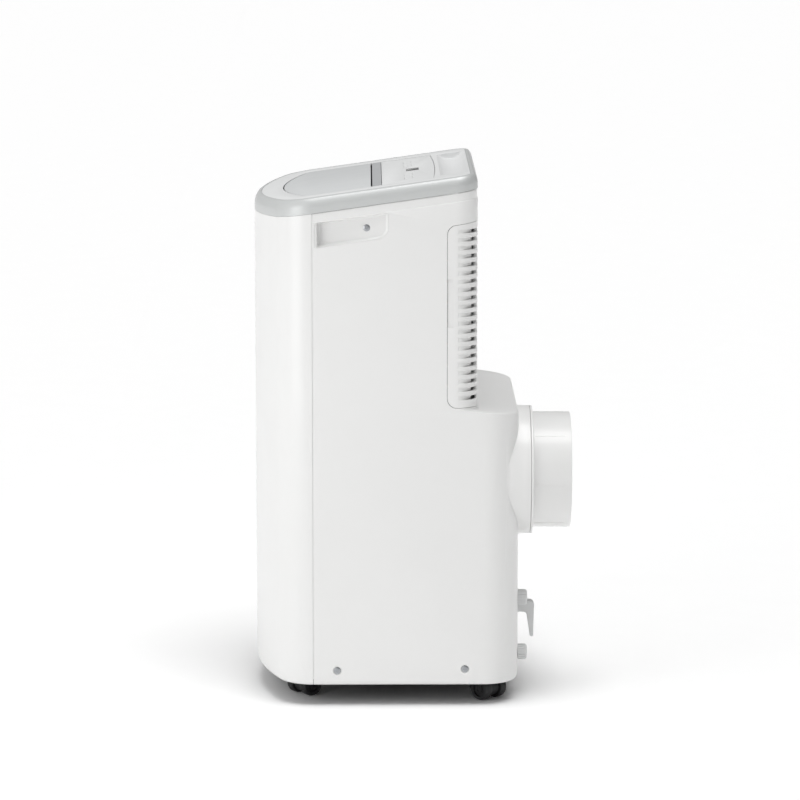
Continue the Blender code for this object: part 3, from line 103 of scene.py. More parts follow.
# ------------------------------------------------------------------ materials
def linear(hex_colour: str) -> tuple[float, float, float, float]:
    """Turns an sRGB hex colour into the linear colour that a shader takes.

    Args:
        hex_colour: Six hex digits, without a hash.

    Returns:
        Red, green, blue and an alpha of one.
    """
    channels = [int(hex_colour[i : i + 2], 16) / 255 for i in (0, 2, 4)]
    red, green, blue = (c / 12.92 if c <= 0.04045 else ((c + 0.055) / 1.055) ** 2.4 for c in channels)
    return red, green, blue, 1.0


def fill(tree: Tree, node: bpy.types.Node, inputs: Inputs) -> None:
    """Sets a node's inputs, or links them.

    Args:
        tree: The tree that holds the node.
        node: The node.
        inputs: Values, or nodes, sockets and lists of them to link, by input name or index.
    """
    for key, value in inputs.items():
        sources = value if isinstance(value, list) else [value]
        if isinstance(sources[0], (bpy.types.Node, Socket)):
            for source in sources:
                tree.links.new(source.outputs[0] if isinstance(source, bpy.types.Node) else source, node.inputs[key])
        else:
            node.inputs[key].default_value = value


def add_node(tree: Tree, kind: str, inputs: Inputs | None = None, **settings: Any) -> bpy.types.Node:
    """Adds a node, sets its properties, and fills or links its inputs.

    Args:
        tree: The tree that takes the node.
        kind: The node's type name.
        inputs: What fill takes.
        settings: Properties of the node itself.

    Returns:
        The new node.
    """
    node = tree.nodes.new(kind)
    for key, value in settings.items():
        setattr(node, key, value)
    fill(tree, node, inputs or {})
    return node


class Pattern(Enum):
    """The ways in which a surface's small relief is laid out."""

    GRAIN = "grain"
    FLAKE = "flake"
    STRIPES = "stripes"
    SPANGLE = "spangle"
    WEAVE = "weave"


@dataclass(frozen=True)
class Finish:
    """A surface finish: its colours, its gloss and the small relief that breaks both up."""

    name: str
    slot: str
    colour: str
    second: str
    roughness: float
    rougher: float
    pattern: Pattern = Pattern.GRAIN
    size_mm: float = 0.9
    relief: float = 0.04
    metallic: float = 0.0
    ior: float = 1.5
    coat: float = 0.0
    blotch_mm: float = 70.0

    def relief_height(self, tree: Tree, place: Socket) -> Socket:
        """Adds the nodes of this finish's small relief.

        Args:
            tree: The material's node tree.
            place: Object coordinates, in metres.

        Returns:
            A height from 0 to 1.
        """
        node = partial(add_node, tree)
        spot = node("ShaderNodeMapping", {"Vector": place, "Scale": (1000 / self.size_mm,) * 3})
        if self.pattern is Pattern.SPANGLE:
            cells = node("ShaderNodeTexVoronoi", {"Vector": spot, "Scale": 1.0})
            return node("ShaderNodeRGBToBW", {"Color": cells.outputs["Color"]}).outputs[0]
        ways = {Pattern.STRIPES: "X", Pattern.WEAVE: "XZ"}.get(self.pattern, "")
        if not ways:
            grain = {"Vector": spot, "Scale": 1.0, "Detail": 3.0, "Roughness": 0.55}
            return node("ShaderNodeTexNoise", grain).outputs["Fac"]
        wave = {"Vector": spot, "Scale": WAVE_SCALE, "Distortion": 0.0, "Detail": 0.0}
        waves = [node("ShaderNodeTexWave", wave, bands_direction=way).outputs["Fac"] for way in ways]
        return node("ShaderNodeMath", {0: waves[0], 1: waves[-1]}, operation="MAXIMUM").outputs[0]

    def build(self) -> bpy.types.Material:
        """Makes the material, or gives the one made before.

        Returns:
            The material of this finish.
        """
        if self.name in bpy.data.materials:
            return bpy.data.materials[self.name]
        made = bpy.data.materials.new(self.name)
        made.use_nodes = True
        tree = made.node_tree
        node = partial(add_node, tree)
        place = node("ShaderNodeTexCoord").outputs["Object"]
        height = self.relief_height(tree, place)
        cloud = {"Vector": place, "Scale": 1000 / self.blotch_mm, "Detail": 4.0, "Roughness": 0.6}
        blotch = node("ShaderNodeTexNoise", cloud).outputs["Fac"]
        # Patterned finishes mix their two colours by the relief; on the fin stripes the dark colour is painted shade in
        # the gaps between fins.
        share = blotch if self.pattern is Pattern.GRAIN else height
        tone = node("ShaderNodeMix", {0: share, 6: linear(self.colour), 7: linear(self.second)}, data_type="RGBA")
        reach = {"From Min": 0.3, "From Max": 0.7, "To Min": self.roughness, "To Max": self.rougher}
        inputs: Inputs = {
            "Base Color": tone.outputs[2],
            "Roughness": node("ShaderNodeMapRange", {"Value": blotch, **reach}),
            "Normal": node(
                "ShaderNodeBump",
                {"Height": height, "Strength": min(1.0, self.relief * 4), "Distance": self.relief * self.size_mm * MM},
            ),
            "Metallic": self.metallic,
            "Coat Weight": self.coat,
            "Coat Roughness": 0.1,
        }
        if self.metallic == 0:
            inputs["IOR"] = self.ior
        fill(tree, tree.nodes["Principled BSDF"], inputs)
        return made


# Gloss ABS, injection moulded: a clean bright white whose faint flow marks soften each reflection.
MOULDED_ABS = Finish(
    "moulded_white_abs", "white_shell", "E8E8E7", "E6E6E5", 0.29, 0.34, size_mm=3.2, relief=0.0015, ior=1.53, coat=0.15
)
# The same ABS from a finely sparked mould: a satin light grey that holds no sharp reflection.
SATIN_ABS = Finish("satin_light_abs", "white_trim", "E2E3E3", "DBDCDC", 0.42, 0.52, size_mm=0.7, relief=0.06, ior=1.53)
# Silver lacquer on ABS: fine flake, coarser here than the real 0.05 mm so that it shows as a soft glitter.
SILVER_LACQUER = Finish(
    "silver_lacquered_abs", "silver_band", "CDCFCE", "C2C4C4", 0.42, 0.50, Pattern.FLAKE, 0.5, 0.015, 0.30, coat=0.15
)
# Grey pigmented ABS with a satin mould texture: flat pale grey, only faintly shiny.
GREY_ABS = Finish("satin_grey_abs", "grey_flap", "CFD1D1", "C8CACB", 0.38, 0.48, size_mm=0.7, relief=0.05, ior=1.53)
# Grey polypropylene, moulded: the inner ducts and wheels, matt with a waxy bloom.
DUCT_PP = Finish(
    "pale_grey_polypropylene", "grey_plastic", "B2B4B5", "A8AAAC", 0.50, 0.62, size_mm=1.0, relief=0.08, ior=1.49
)
# Black polypropylene from a grained mould: dull, with edges that catch a grey light.
BLACK_PP = Finish(
    "grained_black_polypropylene", "black_plastic", "202123", "17181A", 0.46, 0.60, size_mm=0.8, relief=0.12, ior=1.49
)
# Hard black polyurethane of a wheel: matt, slightly dusty.
WHEEL_PU = Finish(
    "dusty_wheel_polyurethane", "tread", "2B2B2C", "1D1D1E", 0.55, 0.75, size_mm=1.2, relief=0.10, blotch_mm=9.0
)
# Tinted acrylic: a black pane with a sharp reflection, over a faint smoke tone.
TINTED_ACRYLIC = Finish(
    "tinted_acrylic_pane", "dark_lens", "1B1E22", "14171A", 0.07, 0.12, size_mm=3.0, relief=0.004, ior=1.49, coat=0.3
)
# Zinc-plated steel, turned: a bright screw with a fine cellular relief, drawn 0.3 mm across.
ZINC_STEEL = Finish("zinc_plated_steel", "screw_steel", "B9BBBE", "9FA2A6", 0.30, 0.40, Pattern.SPANGLE, 0.3, 0.05, 1.0)
# Pressed aluminium fins, 1.6 mm apart, drawn as stripes: bright fin edges, with painted shade as dark stripes in the
# gaps between them.
FIN_STRIPES_PAINTED_GAP_SHADE = Finish("aluminium_fins_painted_gap_shade", "", "D3D6D9", "5C6064", 0.34, 0.44, Pattern.STRIPES, 1.6, 0.5, 0.9)
# Drawn copper tube: warm and glossy with a fine grain, and darker patches where it has tarnished.
COPPER_TUBE = Finish(
    "drawn_copper_tube", "", "C77B56", "8E4F35", 0.22, 0.42, size_mm=0.8, relief=0.05, metallic=1.0, blotch_mm=14.0
)
# Black stoving enamel on a steel can: an even gloss with a slight orange peel.
STOVED_ENAMEL = Finish(
    "black_stoved_enamel", "", "191A1C", "101113", 0.22, 0.32, size_mm=2.2, relief=0.05, ior=1.52, coat=0.4
)
# Glass-fibre laminate with solder mask: green, with the 0.6 mm cloth just showing, drawn at 1 mm.
BOARD_LAMINATE = Finish("green_glass_laminate", "", "1D5A36", "154A2B", 0.35, 0.45, Pattern.WEAVE, 1.0, 0.06)
# Galvanised sheet: zinc spangles 6 mm across, each with its own grey.
GALVANISED = Finish("galvanised_sheet", "", "B9BDC0", "8F9498", 0.30, 0.44, Pattern.SPANGLE, 6.0, 0.02, 1.0)
# Woven polypropylene mesh, threads 1.2 mm apart, drawn at 2 mm: a grey veil in its frame.
FILTER_CLOTH = Finish("woven_filter_mesh", "", "5F666C", "2E3338", 0.62, 0.74, Pattern.WEAVE, 2.0, 0.4)
# Matt white studio paint, with nothing to see in it.
FLOOR_PAINT = Finish("white_studio_floor", "", "FFFFFF", "FDFDFD", 0.9, 0.95, size_mm=30, relief=0.0, ior=1.2)


# ------------------------------------------------------------------ mesh making
def linked(name: str, data: Any) -> Piece:
    """Makes an object and links it to the scene.

    Args:
        name: The object's name.
        data: Its mesh, light or camera.

    Returns:
        The object, at the origin.
    """
    made = bpy.data.objects.new(name, data)
    bpy.context.scene.collection.objects.link(made)
    return made


def from_bmesh(name: str, bm: bmesh.types.BMesh) -> Piece:
    """Makes an object of a worked mesh, which is used up.

    Args:
        name: The object's name.
        bm: The worked mesh.

    Returns:
        The object, at the origin.
    """
    mesh = bpy.data.meshes.new(name)
    bm.to_mesh(mesh)
    bm.free()
    return linked(name, mesh)


def from_lists(
    name: str, points: Iterable[Point3], edges: Iterable[tuple[int, int]] = (), faces: Iterable[tuple[int, ...]] = ()
) -> Piece:
    """Makes an object of plain lists.

    Args:
        name: The object's name.
        points: Its points.
        edges: Its loose edges.
        faces: Its faces.

    Returns:
        The object, at the origin.
    """
    mesh = bpy.data.meshes.new(name)
    mesh.from_pydata(list(points), list(edges), list(faces))
    return linked(name, mesh)


def discard(*helpers: Piece) -> None:
    """Deletes helper objects."""
    for helper in helpers:
        bpy.data.objects.remove(helper, do_unlink=True)


def baked(made: Piece) -> Piece:
    """Turns the object's modifiers into its mesh.

    Args:
        made: An object with live modifiers.

    Returns:
        The same object, with none left.
    """
    bpy.context.view_layer.update()
    evaluated = made.evaluated_get(bpy.context.evaluated_depsgraph_get())
    mesh = bpy.data.meshes.new_from_object(evaluated)
    made.modifiers.clear()
    made.data = mesh
    return made


def tidied(made: Piece) -> Piece:
    """Merges doubled points and turns every face outwards.

    Args:
        made: The object.

    Returns:
        The same object.
    """
    bm = bmesh.new()
    bm.from_mesh(made.data)
    bmesh.ops.remove_doubles(bm, verts=bm.verts, dist=MERGE)
    bmesh.ops.recalc_face_normals(bm, faces=bm.faces)
    bm.to_mesh(made.data)
    bm.free()
    return made


def from_rows(name: str, rows: Sequence[Sequence[Point3]], closed: bool = False, capped: bool = False) -> Piece:
    """Skins rows of points, each as long as the next.

    Args:
        name: The object's name.
        rows: The rows, in order.
        closed: Whether each row is a ring.
        capped: Whether the first and last rows are filled.

    Returns:
        The skinned object.
    """
    bm = bmesh.new()
    made_rows = [[bm.verts.new(point) for point in row] for row in rows]
    count = len(made_rows[0])
    for lower, upper in zip(made_rows, made_rows[1:]):
        for i in range(count if closed else count - 1):
            j = (i + 1) % count
            bm.faces.new((lower[i], lower[j], upper[j], upper[i]))
    if capped:
        bm.faces.new(list(reversed(made_rows[0])))
        bm.faces.new(made_rows[-1])
    return from_bmesh(name, bm)


def prism(
    name: str, outline: Sequence[Point2], low: float, high: float, place: Matrix | None = None, lift: Lift | None = None
) -> Piece:
    """Extrudes an outline between two heights.

    Args:
        name: The object's name.
        outline: The outline's points.
        low: The lower height.
        high: The upper height.
        place: Where the result is put.
        lift: Height added at a place in plan, for pieces on the sloping top.

    Returns:
        The closed prism.
    """
    raised = lift or (lambda x, y: 0.0)
    rows = [[(x, y, z + raised(x, y)) for x, y in outline] for z in (low, high)]
    made = from_rows(name, rows, closed=True, capped=True)
    if place:
        made.data.transform(place)
    return tidied(made)


def block(name: str, low: Point3, high: Point3, lift: Lift | None = None) -> Piece:
    """A box between two corners.

    Args:
        name: The object's name.
        low: Its lowest corner.
        high: Its highest corner.
        lift: Height added at a place in plan.

    Returns:
        The box.
    """
    outline = [(low[0], low[1]), (high[0], low[1]), (high[0], high[1]), (low[0], high[1])]
    return prism(name, outline, low[2], high[2], lift=lift)


def side_prism(name: str, outline: Sequence[Point2], side: int, inner: float, outer: float) -> Piece:
    """Extrudes an outline, drawn along and up, between two distances from the middle on one side.

    Args:
        name: The object's name, without its side.
        outline: The outline's points.
        side: 1 on the right and -1 on the left.
        inner: The nearer distance.
        outer: The farther one.

    Returns:
        The closed prism.
    """
    low, high = sorted((side * inner, side * outer))
    return prism(f"{name}_{SIDES[side]}", outline, low, high, UP_FROM_AXIS)


def spun(name: str, profile: Sequence[Point2], place: Matrix, steps: int) -> Piece:
    """Turns a profile round the local Z axis.

    Args:
        name: The object's name.
        profile: Points as radius and height. A radius of zero closes a pole.
        place: Where the result is put.
        steps: How many sides the turn has.

    Returns:
        The turned object, closed where its profile is.
    """
    bm = bmesh.new()
    rings = []
    for radius, height in profile:
        turns = [2 * pi * i / steps for i in range(steps if radius > 0 else 1)]
        rings.append([bm.verts.new((radius * cos(turn), radius * sin(turn), height)) for turn in turns])
    for lower, upper in zip(rings, rings[1:]):
        for i in range(steps):
            j = (i + 1) % steps
            corners = [lower[i % len(lower)], lower[j % len(lower)], upper[j % len(upper)], upper[i % len(upper)]]
            unique = list(dict.fromkeys(corners))
            if len(unique) > 2:
                bm.faces.new(unique)
    made = from_bmesh(name, bm)
    made.data.transform(place)
    return tidied(made)


def rod(name: str, radius: float, length: float, place: Matrix, steps: int) -> Piece:
    """A plain cylinder that starts at its place."""
    return spun(name, [(0, 0), (radius, 0), (radius, length), (0, length)], place, steps)


def along(axis: str, x: float, y: float, z: float) -> Matrix:
    """The place of a turned piece whose axis points along one direction from a point."""
    return Matrix.Translation((x, y, z)) @ TURN_TO[axis]


def outwards(side: int, x: float, y: float, z: float) -> Matrix:
    """The place of a turned piece that points out of one side from a point."""
    return along("X" if side > 0 else "-X", side * x, y, z)


class Merge(Enum):
    """What a piece does to the one that it is merged with."""

    CUT = "DIFFERENCE"
    JOIN = "UNION"
    TRIM = "INTERSECT"


def merged(target: Piece, *others: Piece, how: Merge = Merge.CUT) -> Piece:
    """Cuts pieces away from a target, joins them to it, or trims it to them.

    Args:
        target: The piece that is changed.
        others: The pieces that are used up.
        how: What they do to it.

    Returns:
        The target.
    """
    for other in others:
        modifier = target.modifiers.new(other.name, "BOOLEAN")
        modifier.operation = how.value
        modifier.solver = "EXACT"
        modifier.object = other
    baked(target)
    discard(*others)
    return target


def joined(name: str, *parts: Piece) -> Piece:
    """Puts several meshes into one object, as they are.

    Args:
        name: The new object's name.
        parts: The pieces that are used up.

    Returns:
        The one object.
    """
    bm = bmesh.new()
    for part in parts:
        bm.from_mesh(part.data)
    discard(*parts)
    return from_bmesh(name, bm)


def walled(made: Piece, wall: float) -> Piece:
    """Gives a skin its wall, inwards.

    Args:
        made: The skin, with its faces outwards.
        wall: The wall's thickness.

    Returns:
        The same object, closed.
    """
    solid = made.modifiers.new("wall", "SOLIDIFY")
    solid.thickness = wall
    solid.offset = -1
    solid.solidify_mode = "NON_MANIFOLD"
    solid.nonmanifold_thickness_mode = "CONSTRAINTS"
    return baked(made)


def softened(made: Piece, width: float, segments: int = 2, angle: float = 35.0) -> Piece:
    """Rounds a piece's sharp edges.

    Args:
        made: The piece.
        width: The rounding's size.
        segments: Its steps.
        angle: The least angle, in degrees, that counts as sharp.

    Returns:
        The same object.
    """
    bevel = made.modifiers.new("edges", "BEVEL")
    bevel.width = width
    bevel.segments = segments
    bevel.limit_method = "ANGLE"
    bevel.angle_limit = radians(angle)
    return baked(made)


def ring(centre: Point2, radius: float, start: float, end: float, steps: int) -> list[Point2]:
    """Points on an arc, both ends included.

    Args:
        centre: The arc's centre.
        radius: Its radius.
        start: Its first angle, in radians.
        end: Its last angle.
        steps: How many chords it has.

    Returns:
        The points.
    """
    angles = [start + (end - start) * i / steps for i in range(steps + 1)]
    return [(centre[0] + radius * cos(a), centre[1] + radius * sin(a)) for a in angles]


# ------------------------------------------------------------------ node trees that repeat a shape
class Rule:
    """A geometry node tree with named inputs, used once on a carrier mesh and then turned to plain mesh."""

    SOCKETS = {int: "Int", float: "Float", tuple: "Vector", Piece: "Object", bpy.types.Material: "Material"}

    def __init__(self, name: str, finish: Finish, **sizes: Any) -> None:
        """Starts the tree.

        Args:
            name: The tree's name.
            finish: What the result is made of.
            sizes: The value of each named input.
        """
        self.tree = bpy.data.node_groups.new(name, "GeometryNodeTree")
        self.node = partial(add_node, self.tree)
        face = self.tree.interface
        face.new_socket("Geometry", in_out="INPUT", socket_type="NodeSocketGeometry")
        face.new_socket("Geometry", in_out="OUTPUT", socket_type="NodeSocketGeometry")
        self.values = {}
        for key, value in {**sizes, "finish": finish.build()}.items():
            socket = face.new_socket(key, in_out="INPUT", socket_type=f"NodeSocket{self.SOCKETS[type(value)]}")
            self.values[socket.identifier] = value
        self.given = self.node("NodeGroupInput").outputs

    def run(self, name: str, carrier: Piece, geometry: bpy.types.Node) -> Piece:
        """Ends the tree, runs it on a carrier and keeps the result as plain mesh.

        Args:
            name: The result's name.
            carrier: The mesh that the tree reads. It is used up.
            geometry: The tree's last node, whose copies are made real and take the finish.

        Returns:
            The result.
        """
        real = self.node("GeometryNodeRealizeInstances", {0: geometry})
        dressed = self.node("GeometryNodeSetMaterial", {"Geometry": real, "Material": self.given["finish"]})
        self.node("NodeGroupOutput", {0: dressed})
        modifier = carrier.modifiers.new("rule", "NODES")
        modifier.node_group = self.tree
        for identifier, value in self.values.items():
            modifier[identifier] = value
        baked(carrier)
        carrier.name = name
        return carrier


def wire(name: str, points: Sequence[Point3]) -> Piece:
    """A closed wire through some points, for a tree to follow."""
    return from_lists(name, points, [(i, (i + 1) % len(points)) for i in range(len(points))])


def swept(name: str, path: Piece, profile: Piece, slope: float, base: float, finish: Finish) -> Piece:
    """Sweeps a profile along a ring and lifts it on to the sloping shoulder.

    Args:
        name: The result's name.
        path: The wire of the ring. It is used up.
        profile: The wire of the profile, outwards and downwards. It is used up.
        slope: The shoulder's rise towards the back.
        base: The shoulder's height over the middle of the ring.
        finish: What the result is made of.

    Returns:
        The swept band.
    """
    rule = Rule("band_sweep", finish, profile=profile, slope=slope, base=base)
    node, given = rule.node, rule.given
    ring_curve = node("GeometryNodeMeshToCurve", {0: given["Geometry"]})
    level = node("GeometryNodeSetCurveNormal", {"Curve": ring_curve}, mode="Z_UP")
    shape = node("GeometryNodeObjectInfo", {"Object": given["profile"]}).outputs["Geometry"]
    edge = node("GeometryNodeMeshToCurve", {0: shape})
    band = node("GeometryNodeCurveToMesh", {"Curve": level, "Profile Curve": edge})
    spot = node("ShaderNodeSeparateXYZ", {0: node("GeometryNodeInputPosition")}).outputs["Y"]
    rise = node("ShaderNodeMath", {0: spot, 1: given["slope"], 2: given["base"]}, operation="MULTIPLY_ADD")
    shift = node("ShaderNodeCombineXYZ", {"Z": rise})
    made = rule.run(name, path, node("GeometryNodeSetPosition", {"Geometry": band, "Offset": shift}))
    discard(profile)
    return tidied(made)


def stacked(name: str, plan: Piece, count: int, first: float, pitch: float, height: float, finish: Finish) -> Piece:
    """Raises a flat plan into a slat and stacks copies of it.

    Args:
        name: The result's name.
        plan: The plan. It is used up.
        count: How many slats.
        first: The height of the lowest one's underside.
        pitch: From one slat to the next.
        height: Each slat's own height.
        finish: What the result is made of.

    Returns:
        The stack.
    """
    rule = Rule("stacked_slats", finish, count=count, first_height=first, pitch=pitch, slat_height=height)
    node, given = rule.node, rule.given
    flat = given["Geometry"]
    up = node("ShaderNodeCombineXYZ", {"Z": given["slat_height"]})
    raised = node("GeometryNodeExtrudeMesh", {"Mesh": flat, "Offset": up, "Individual": False}, mode="FACES")
    floor = node("GeometryNodeFlipFaces", {0: flat})
    both = node("GeometryNodeJoinGeometry", {0: [raised, floor]})
    slat = node("GeometryNodeMergeByDistance", {"Geometry": both, "Distance": MERGE / 2})
    start = node("ShaderNodeCombineXYZ", {"Z": given["first_height"]})
    step = node("ShaderNodeCombineXYZ", {"Z": given["pitch"]})
    line = node("GeometryNodeMeshLine", {"Count": given["count"], "Start Location": start, "Offset": step})
    return tidied(rule.run(name, plan, node("GeometryNodeInstanceOnPoints", {"Points": line, "Instance": slat})))


def aimed(name: str, pattern: Piece, points: Sequence[Point3], aims: Sequence[Point3], finish: Finish) -> Piece:
    """Puts a copy of one piece on each point, turned to face the point's aim.

    Args:
        name: The result's name.
        pattern: The piece, drawn with its outside towards +Z. It is used up.
        points: The places.
        aims: The directions.
        finish: What the result is made of.

    Returns:
        The copies.
    """
    rule = Rule("aimed_copies", finish, pattern=pattern)
    node, given = rule.node, rule.given
    shape = node("GeometryNodeObjectInfo", {"Object": given["pattern"]}).outputs["Geometry"]
    aim = node("GeometryNodeInputNamedAttribute", {"Name": "aim"}, data_type="FLOAT_VECTOR")
    turn = node("FunctionNodeAlignRotationToVector", {"Vector": aim}, axis="Z")
    copies = node("GeometryNodeInstanceOnPoints", {"Points": given["Geometry"], "Instance": shape, "Rotation": turn})
    carrier = from_lists(name, points)
    stored = carrier.data.attributes.new("aim", "FLOAT_VECTOR", "POINT")
    stored.data.foreach_set("vector", [part for direction in aims for part in direction])
    made = rule.run(name, carrier, copies)
    discard(pattern)
    return made


def ribbed(name: str, body: Piece, count: int, radius: float, size: Point3, height: float, finish: Finish) -> Piece:
    """Sets straight ribs round the Z axis of a piece and joins them to it.

    Args:
        name: The result's name.
        body: The piece. It is used up.
        count: How many ribs.
        radius: From the axis to the middle of each rib.
        size: A rib's depth, width and length.
        height: The middle of the ribs along the axis.
        finish: What the result is made of.

    Returns:
        The ribbed piece.
    """
    rule = Rule("radial_ribs", finish, count=count, radius=radius, rib_size=size, height=height)
    node, given = rule.node, rule.given
    rib = node("GeometryNodeMeshCube", {"Size": given["rib_size"]})
    circle = node("GeometryNodeMeshCircle", {"Vertices": given["count"], "Radius": given["radius"]})
    lift = node("ShaderNodeCombineXYZ", {"Z": given["height"]})
    away = node("GeometryNodeInputPosition")
    turn = node("FunctionNodeAlignRotationToVector", {"Vector": away}, axis="X", pivot_axis="Z")
    ribs = node("GeometryNodeInstanceOnPoints", {"Points": circle, "Instance": rib, "Rotation": turn})
    raised = node("GeometryNodeTranslateInstances", {"Instances": ribs, "Translation": lift})
    return rule.run(name, body, node("GeometryNodeJoinGeometry", {0: [raised, given["Geometry"]]}))


# ------------------------------------------------------------------ the casing's plan
@dataclass(frozen=True)
class Envelope:
    """The casing's overall sizes, the places that pieces share and the plans that they follow."""

    width: float = 0.350
    front_y: float = -0.203
    upper_rear_y: float = 0.080
    lower_rear_y: float = 0.133
    bottom_z: float = 0.027
    shoulder_z: float = 0.629
    slope: float = 0.143
    wall: float = 0.0025
    front_radius: float = 0.370
    front_corner: float = 0.050
    upper_corner: float = 0.028
    lower_corner: float = 0.045
    nose_height: float = 0.018
    nose_depth: float = 0.006
    edge_radius: float = 0.006
    ledge_z: float = 0.3785
    ledge_slope: float = 0.095
    top_height: float = 0.0195
    opening_inset: float = 0.0365
    exhaust_x: float = 0.080
    exhaust_z: float = 0.2885
    drain_x: float = 0.105
    upper_drain_z: float = 0.1265
    lower_drain_z: float = 0.055
    bush_x: float = -0.100
    bush_z: float = 0.086

    @property
    def half(self) -> float:
        """Half the casing's width."""
        return self.width / 2

    @property
    def seam_y(self) -> float:
        """Where the bowed front ends and the straight side starts."""
        reach = sqrt((self.front_radius - self.front_corner) ** 2 - (self.half - self.front_corner) ** 2)
        return self.front_y + self.front_radius - reach

    @property
    def edge_heights(self) -> list[float]:
        """The heights of the rows that round the lower edge."""
        return [self.bottom_z + self.edge_radius * (1 - cos(pi / 2 * i / 6)) for i in range(7)]

    def shoulder(self, y: float) -> float:
        """Height of the sloping shoulder, on which the silver band stands."""
        return self.shoulder_z + self.slope * (y - self.seam_y)

    def on_top(self, x: float, y: float) -> float:
        """Height to add to a piece drawn on the shoulder."""
        return self.shoulder(y)

    def front_plan(self, inset: float = 0.0, corner_steps: int = 18, front_steps: int = 36) -> list[Point2]:
        """The bowed front from the left seam to the right one.

        Args:
            inset: How far inside the outer face.
            corner_steps: Chords in each corner.
            front_steps: Chords across the front.

        Returns:
            The plan's points.
        """
        centre = (0.0, self.front_y + self.front_radius)
        corner = (self.half - self.front_corner, self.seam_y)
        meet = atan2(corner[1] - centre[1], corner[0])
        right = ring(corner, self.front_corner - inset, meet, 0.0, corner_steps)
        bow = ring(centre, self.front_radius - inset, -pi - meet, meet, front_steps)
        return mirrored(right) + bow[1:-1] + right

    def rear_plan(self, lower: bool, inset: float = 0.0, steps: int = 18, start: float | None = None) -> list[Point2]:
        """The back from the right side round to the left one.

        Args:
            lower: Whether it is the lower bulge's back or the upper one.
            inset: How far inside the outer face.
            steps: Chords in each corner.
            start: Where the sides start.

        Returns:
            The plan's points.
        """
        rear, radius = (self.lower_rear_y, self.lower_corner) if lower else (self.upper_rear_y, self.upper_corner)
        begin = self.seam_y + 0.0004 if start is None else start
        corner = ring((self.half - radius, rear - radius), radius - inset, 0.0, pi / 2, steps)
        right = [(self.half - inset, begin), *corner]
        return right + mirrored(right)

    def edge_inset(self, z: float) -> float:
        """How far the lower edge is rounded inwards at a height."""
        drop = max(0.0, self.edge_radius - (z - self.bottom_z))
        return self.edge_radius - sqrt(max(0.0, self.edge_radius**2 - drop**2))

    def nosed(self, points: Iterable[Point2], z: float) -> list[Point2]:
        """Pulls a front plan back where the front curves under.

        Args:
            points: The plan.
            z: The height.

        Returns:
            The changed plan.
        """
        drop = max(0.0, 1 - (z - self.bottom_z) / self.nose_height)
        share = 1 - self.nose_depth * (1 - sqrt(max(0.0, 1 - drop**2))) / (self.seam_y - self.front_y)
        return [(x, self.seam_y + (y - self.seam_y) * share) for x, y in points]

    def panel_edge(self, x: float, clearance: float = 0.0) -> float:
        """The bowed rear edge of the control panel."""
        return 0.028 - 0.0035 * (x / (self.half - self.opening_inset)) ** 2 + clearance


def mirrored(points: Iterable[Point2]) -> list[Point2]:
    """A plan's other side, in reverse order."""
    return [(-x, y) for x, y in reversed(list(points))]


def at_height(points: Iterable[Point2], z: float, rise: Lift | None = None) -> list[Point3]:
    """Points of a plan at one height, above a surface where one is given."""
    return [(x, y, z + rise(x, y) if rise else z) for x, y in points]


def eased(share: float) -> float:
    """A share from 0 to 1 that starts and ends gently."""
    held = min(1.0, max(0.0, share))
    return held * held * (3 - 2 * held)


def rounded_box_distance(u: float, v: float, half_u: float, half_v: float, radius: float) -> float:
    """How far inside a rounded rectangle a point is.

    Args:
        u: Across, from the middle.
        v: Up, from the middle.
        half_u: Half the rectangle's width.
        half_v: Half its height.
        radius: Its corners' radius.

    Returns:
        The distance to its edge, positive inside.
    """
    du, dv = abs(u) - half_u + radius, abs(v) - half_v + radius
    outside = hypot(max(du, 0.0), max(dv, 0.0))
    return radius - outside - min(max(du, dv), 0.0)


# ------------------------------------------------------------------ sub-assemblies
class Workshop:
    """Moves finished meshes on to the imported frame, and ties each to its body and CAD nodes."""

    def __init__(self, frame: dict[str, Any], envelope: Envelope) -> None:
        """Finds how far the frame stands from the casing's own drawing.

        Args:
            envelope: The casing's plan.
        """
        self.frame = frame
        self.envelope = envelope
        self.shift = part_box("front_cover")[0].y - envelope.front_y
        self.count = 0

    def fit(self, made: Piece, name: str, body: str, finish: Finish, *nodes: str, angle: float = 32.0) -> None:
        """Fits one finished piece.

        Args:
            made: The piece, drawn in the casing's frame.
            name: Its name.
            body: The body that it moves with.
            finish: What it is made of.
            nodes: The CAD nodes that it stands for.
            angle: The least angle, in degrees, that stays sharp.
        """
        made.name = name
        mesh = made.data
        mesh.transform(Matrix.Translation((0, self.shift, 0)))
        mesh.polygons.foreach_set("use_smooth", [True] * len(mesh.polygons))
        mesh.set_sharp_from_angle(angle=radians(angle))
        mesh.materials.clear()
        mesh.materials.append(finish.build())
        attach(made, body)
        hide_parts(*nodes)
        self.count += 1
        log.info("%s: %d faces on %s", name, len(mesh.polygons), body)

    def keep(self, finish: Finish, *nodes: str) -> None:
        """Gives CAD nodes that stay their real finish.

        Args:
            finish: What they are made of.
            nodes: Their names.
        """
        for name in nodes:
            node = self.frame["nodes"][name]
            if not node.material_slots:
                node.data.materials.append(finish.build())
            for slot in node.material_slots:
                slot.material = finish.build()
            log.info("%s: kept from the frame in %s", name, finish.name)


@dataclass
class Assembly:
    """A group of pieces that one workshop fits."""

    shop: Workshop

    @property
    def env(self) -> Envelope:
        """The casing's plan."""
        return self.shop.envelope


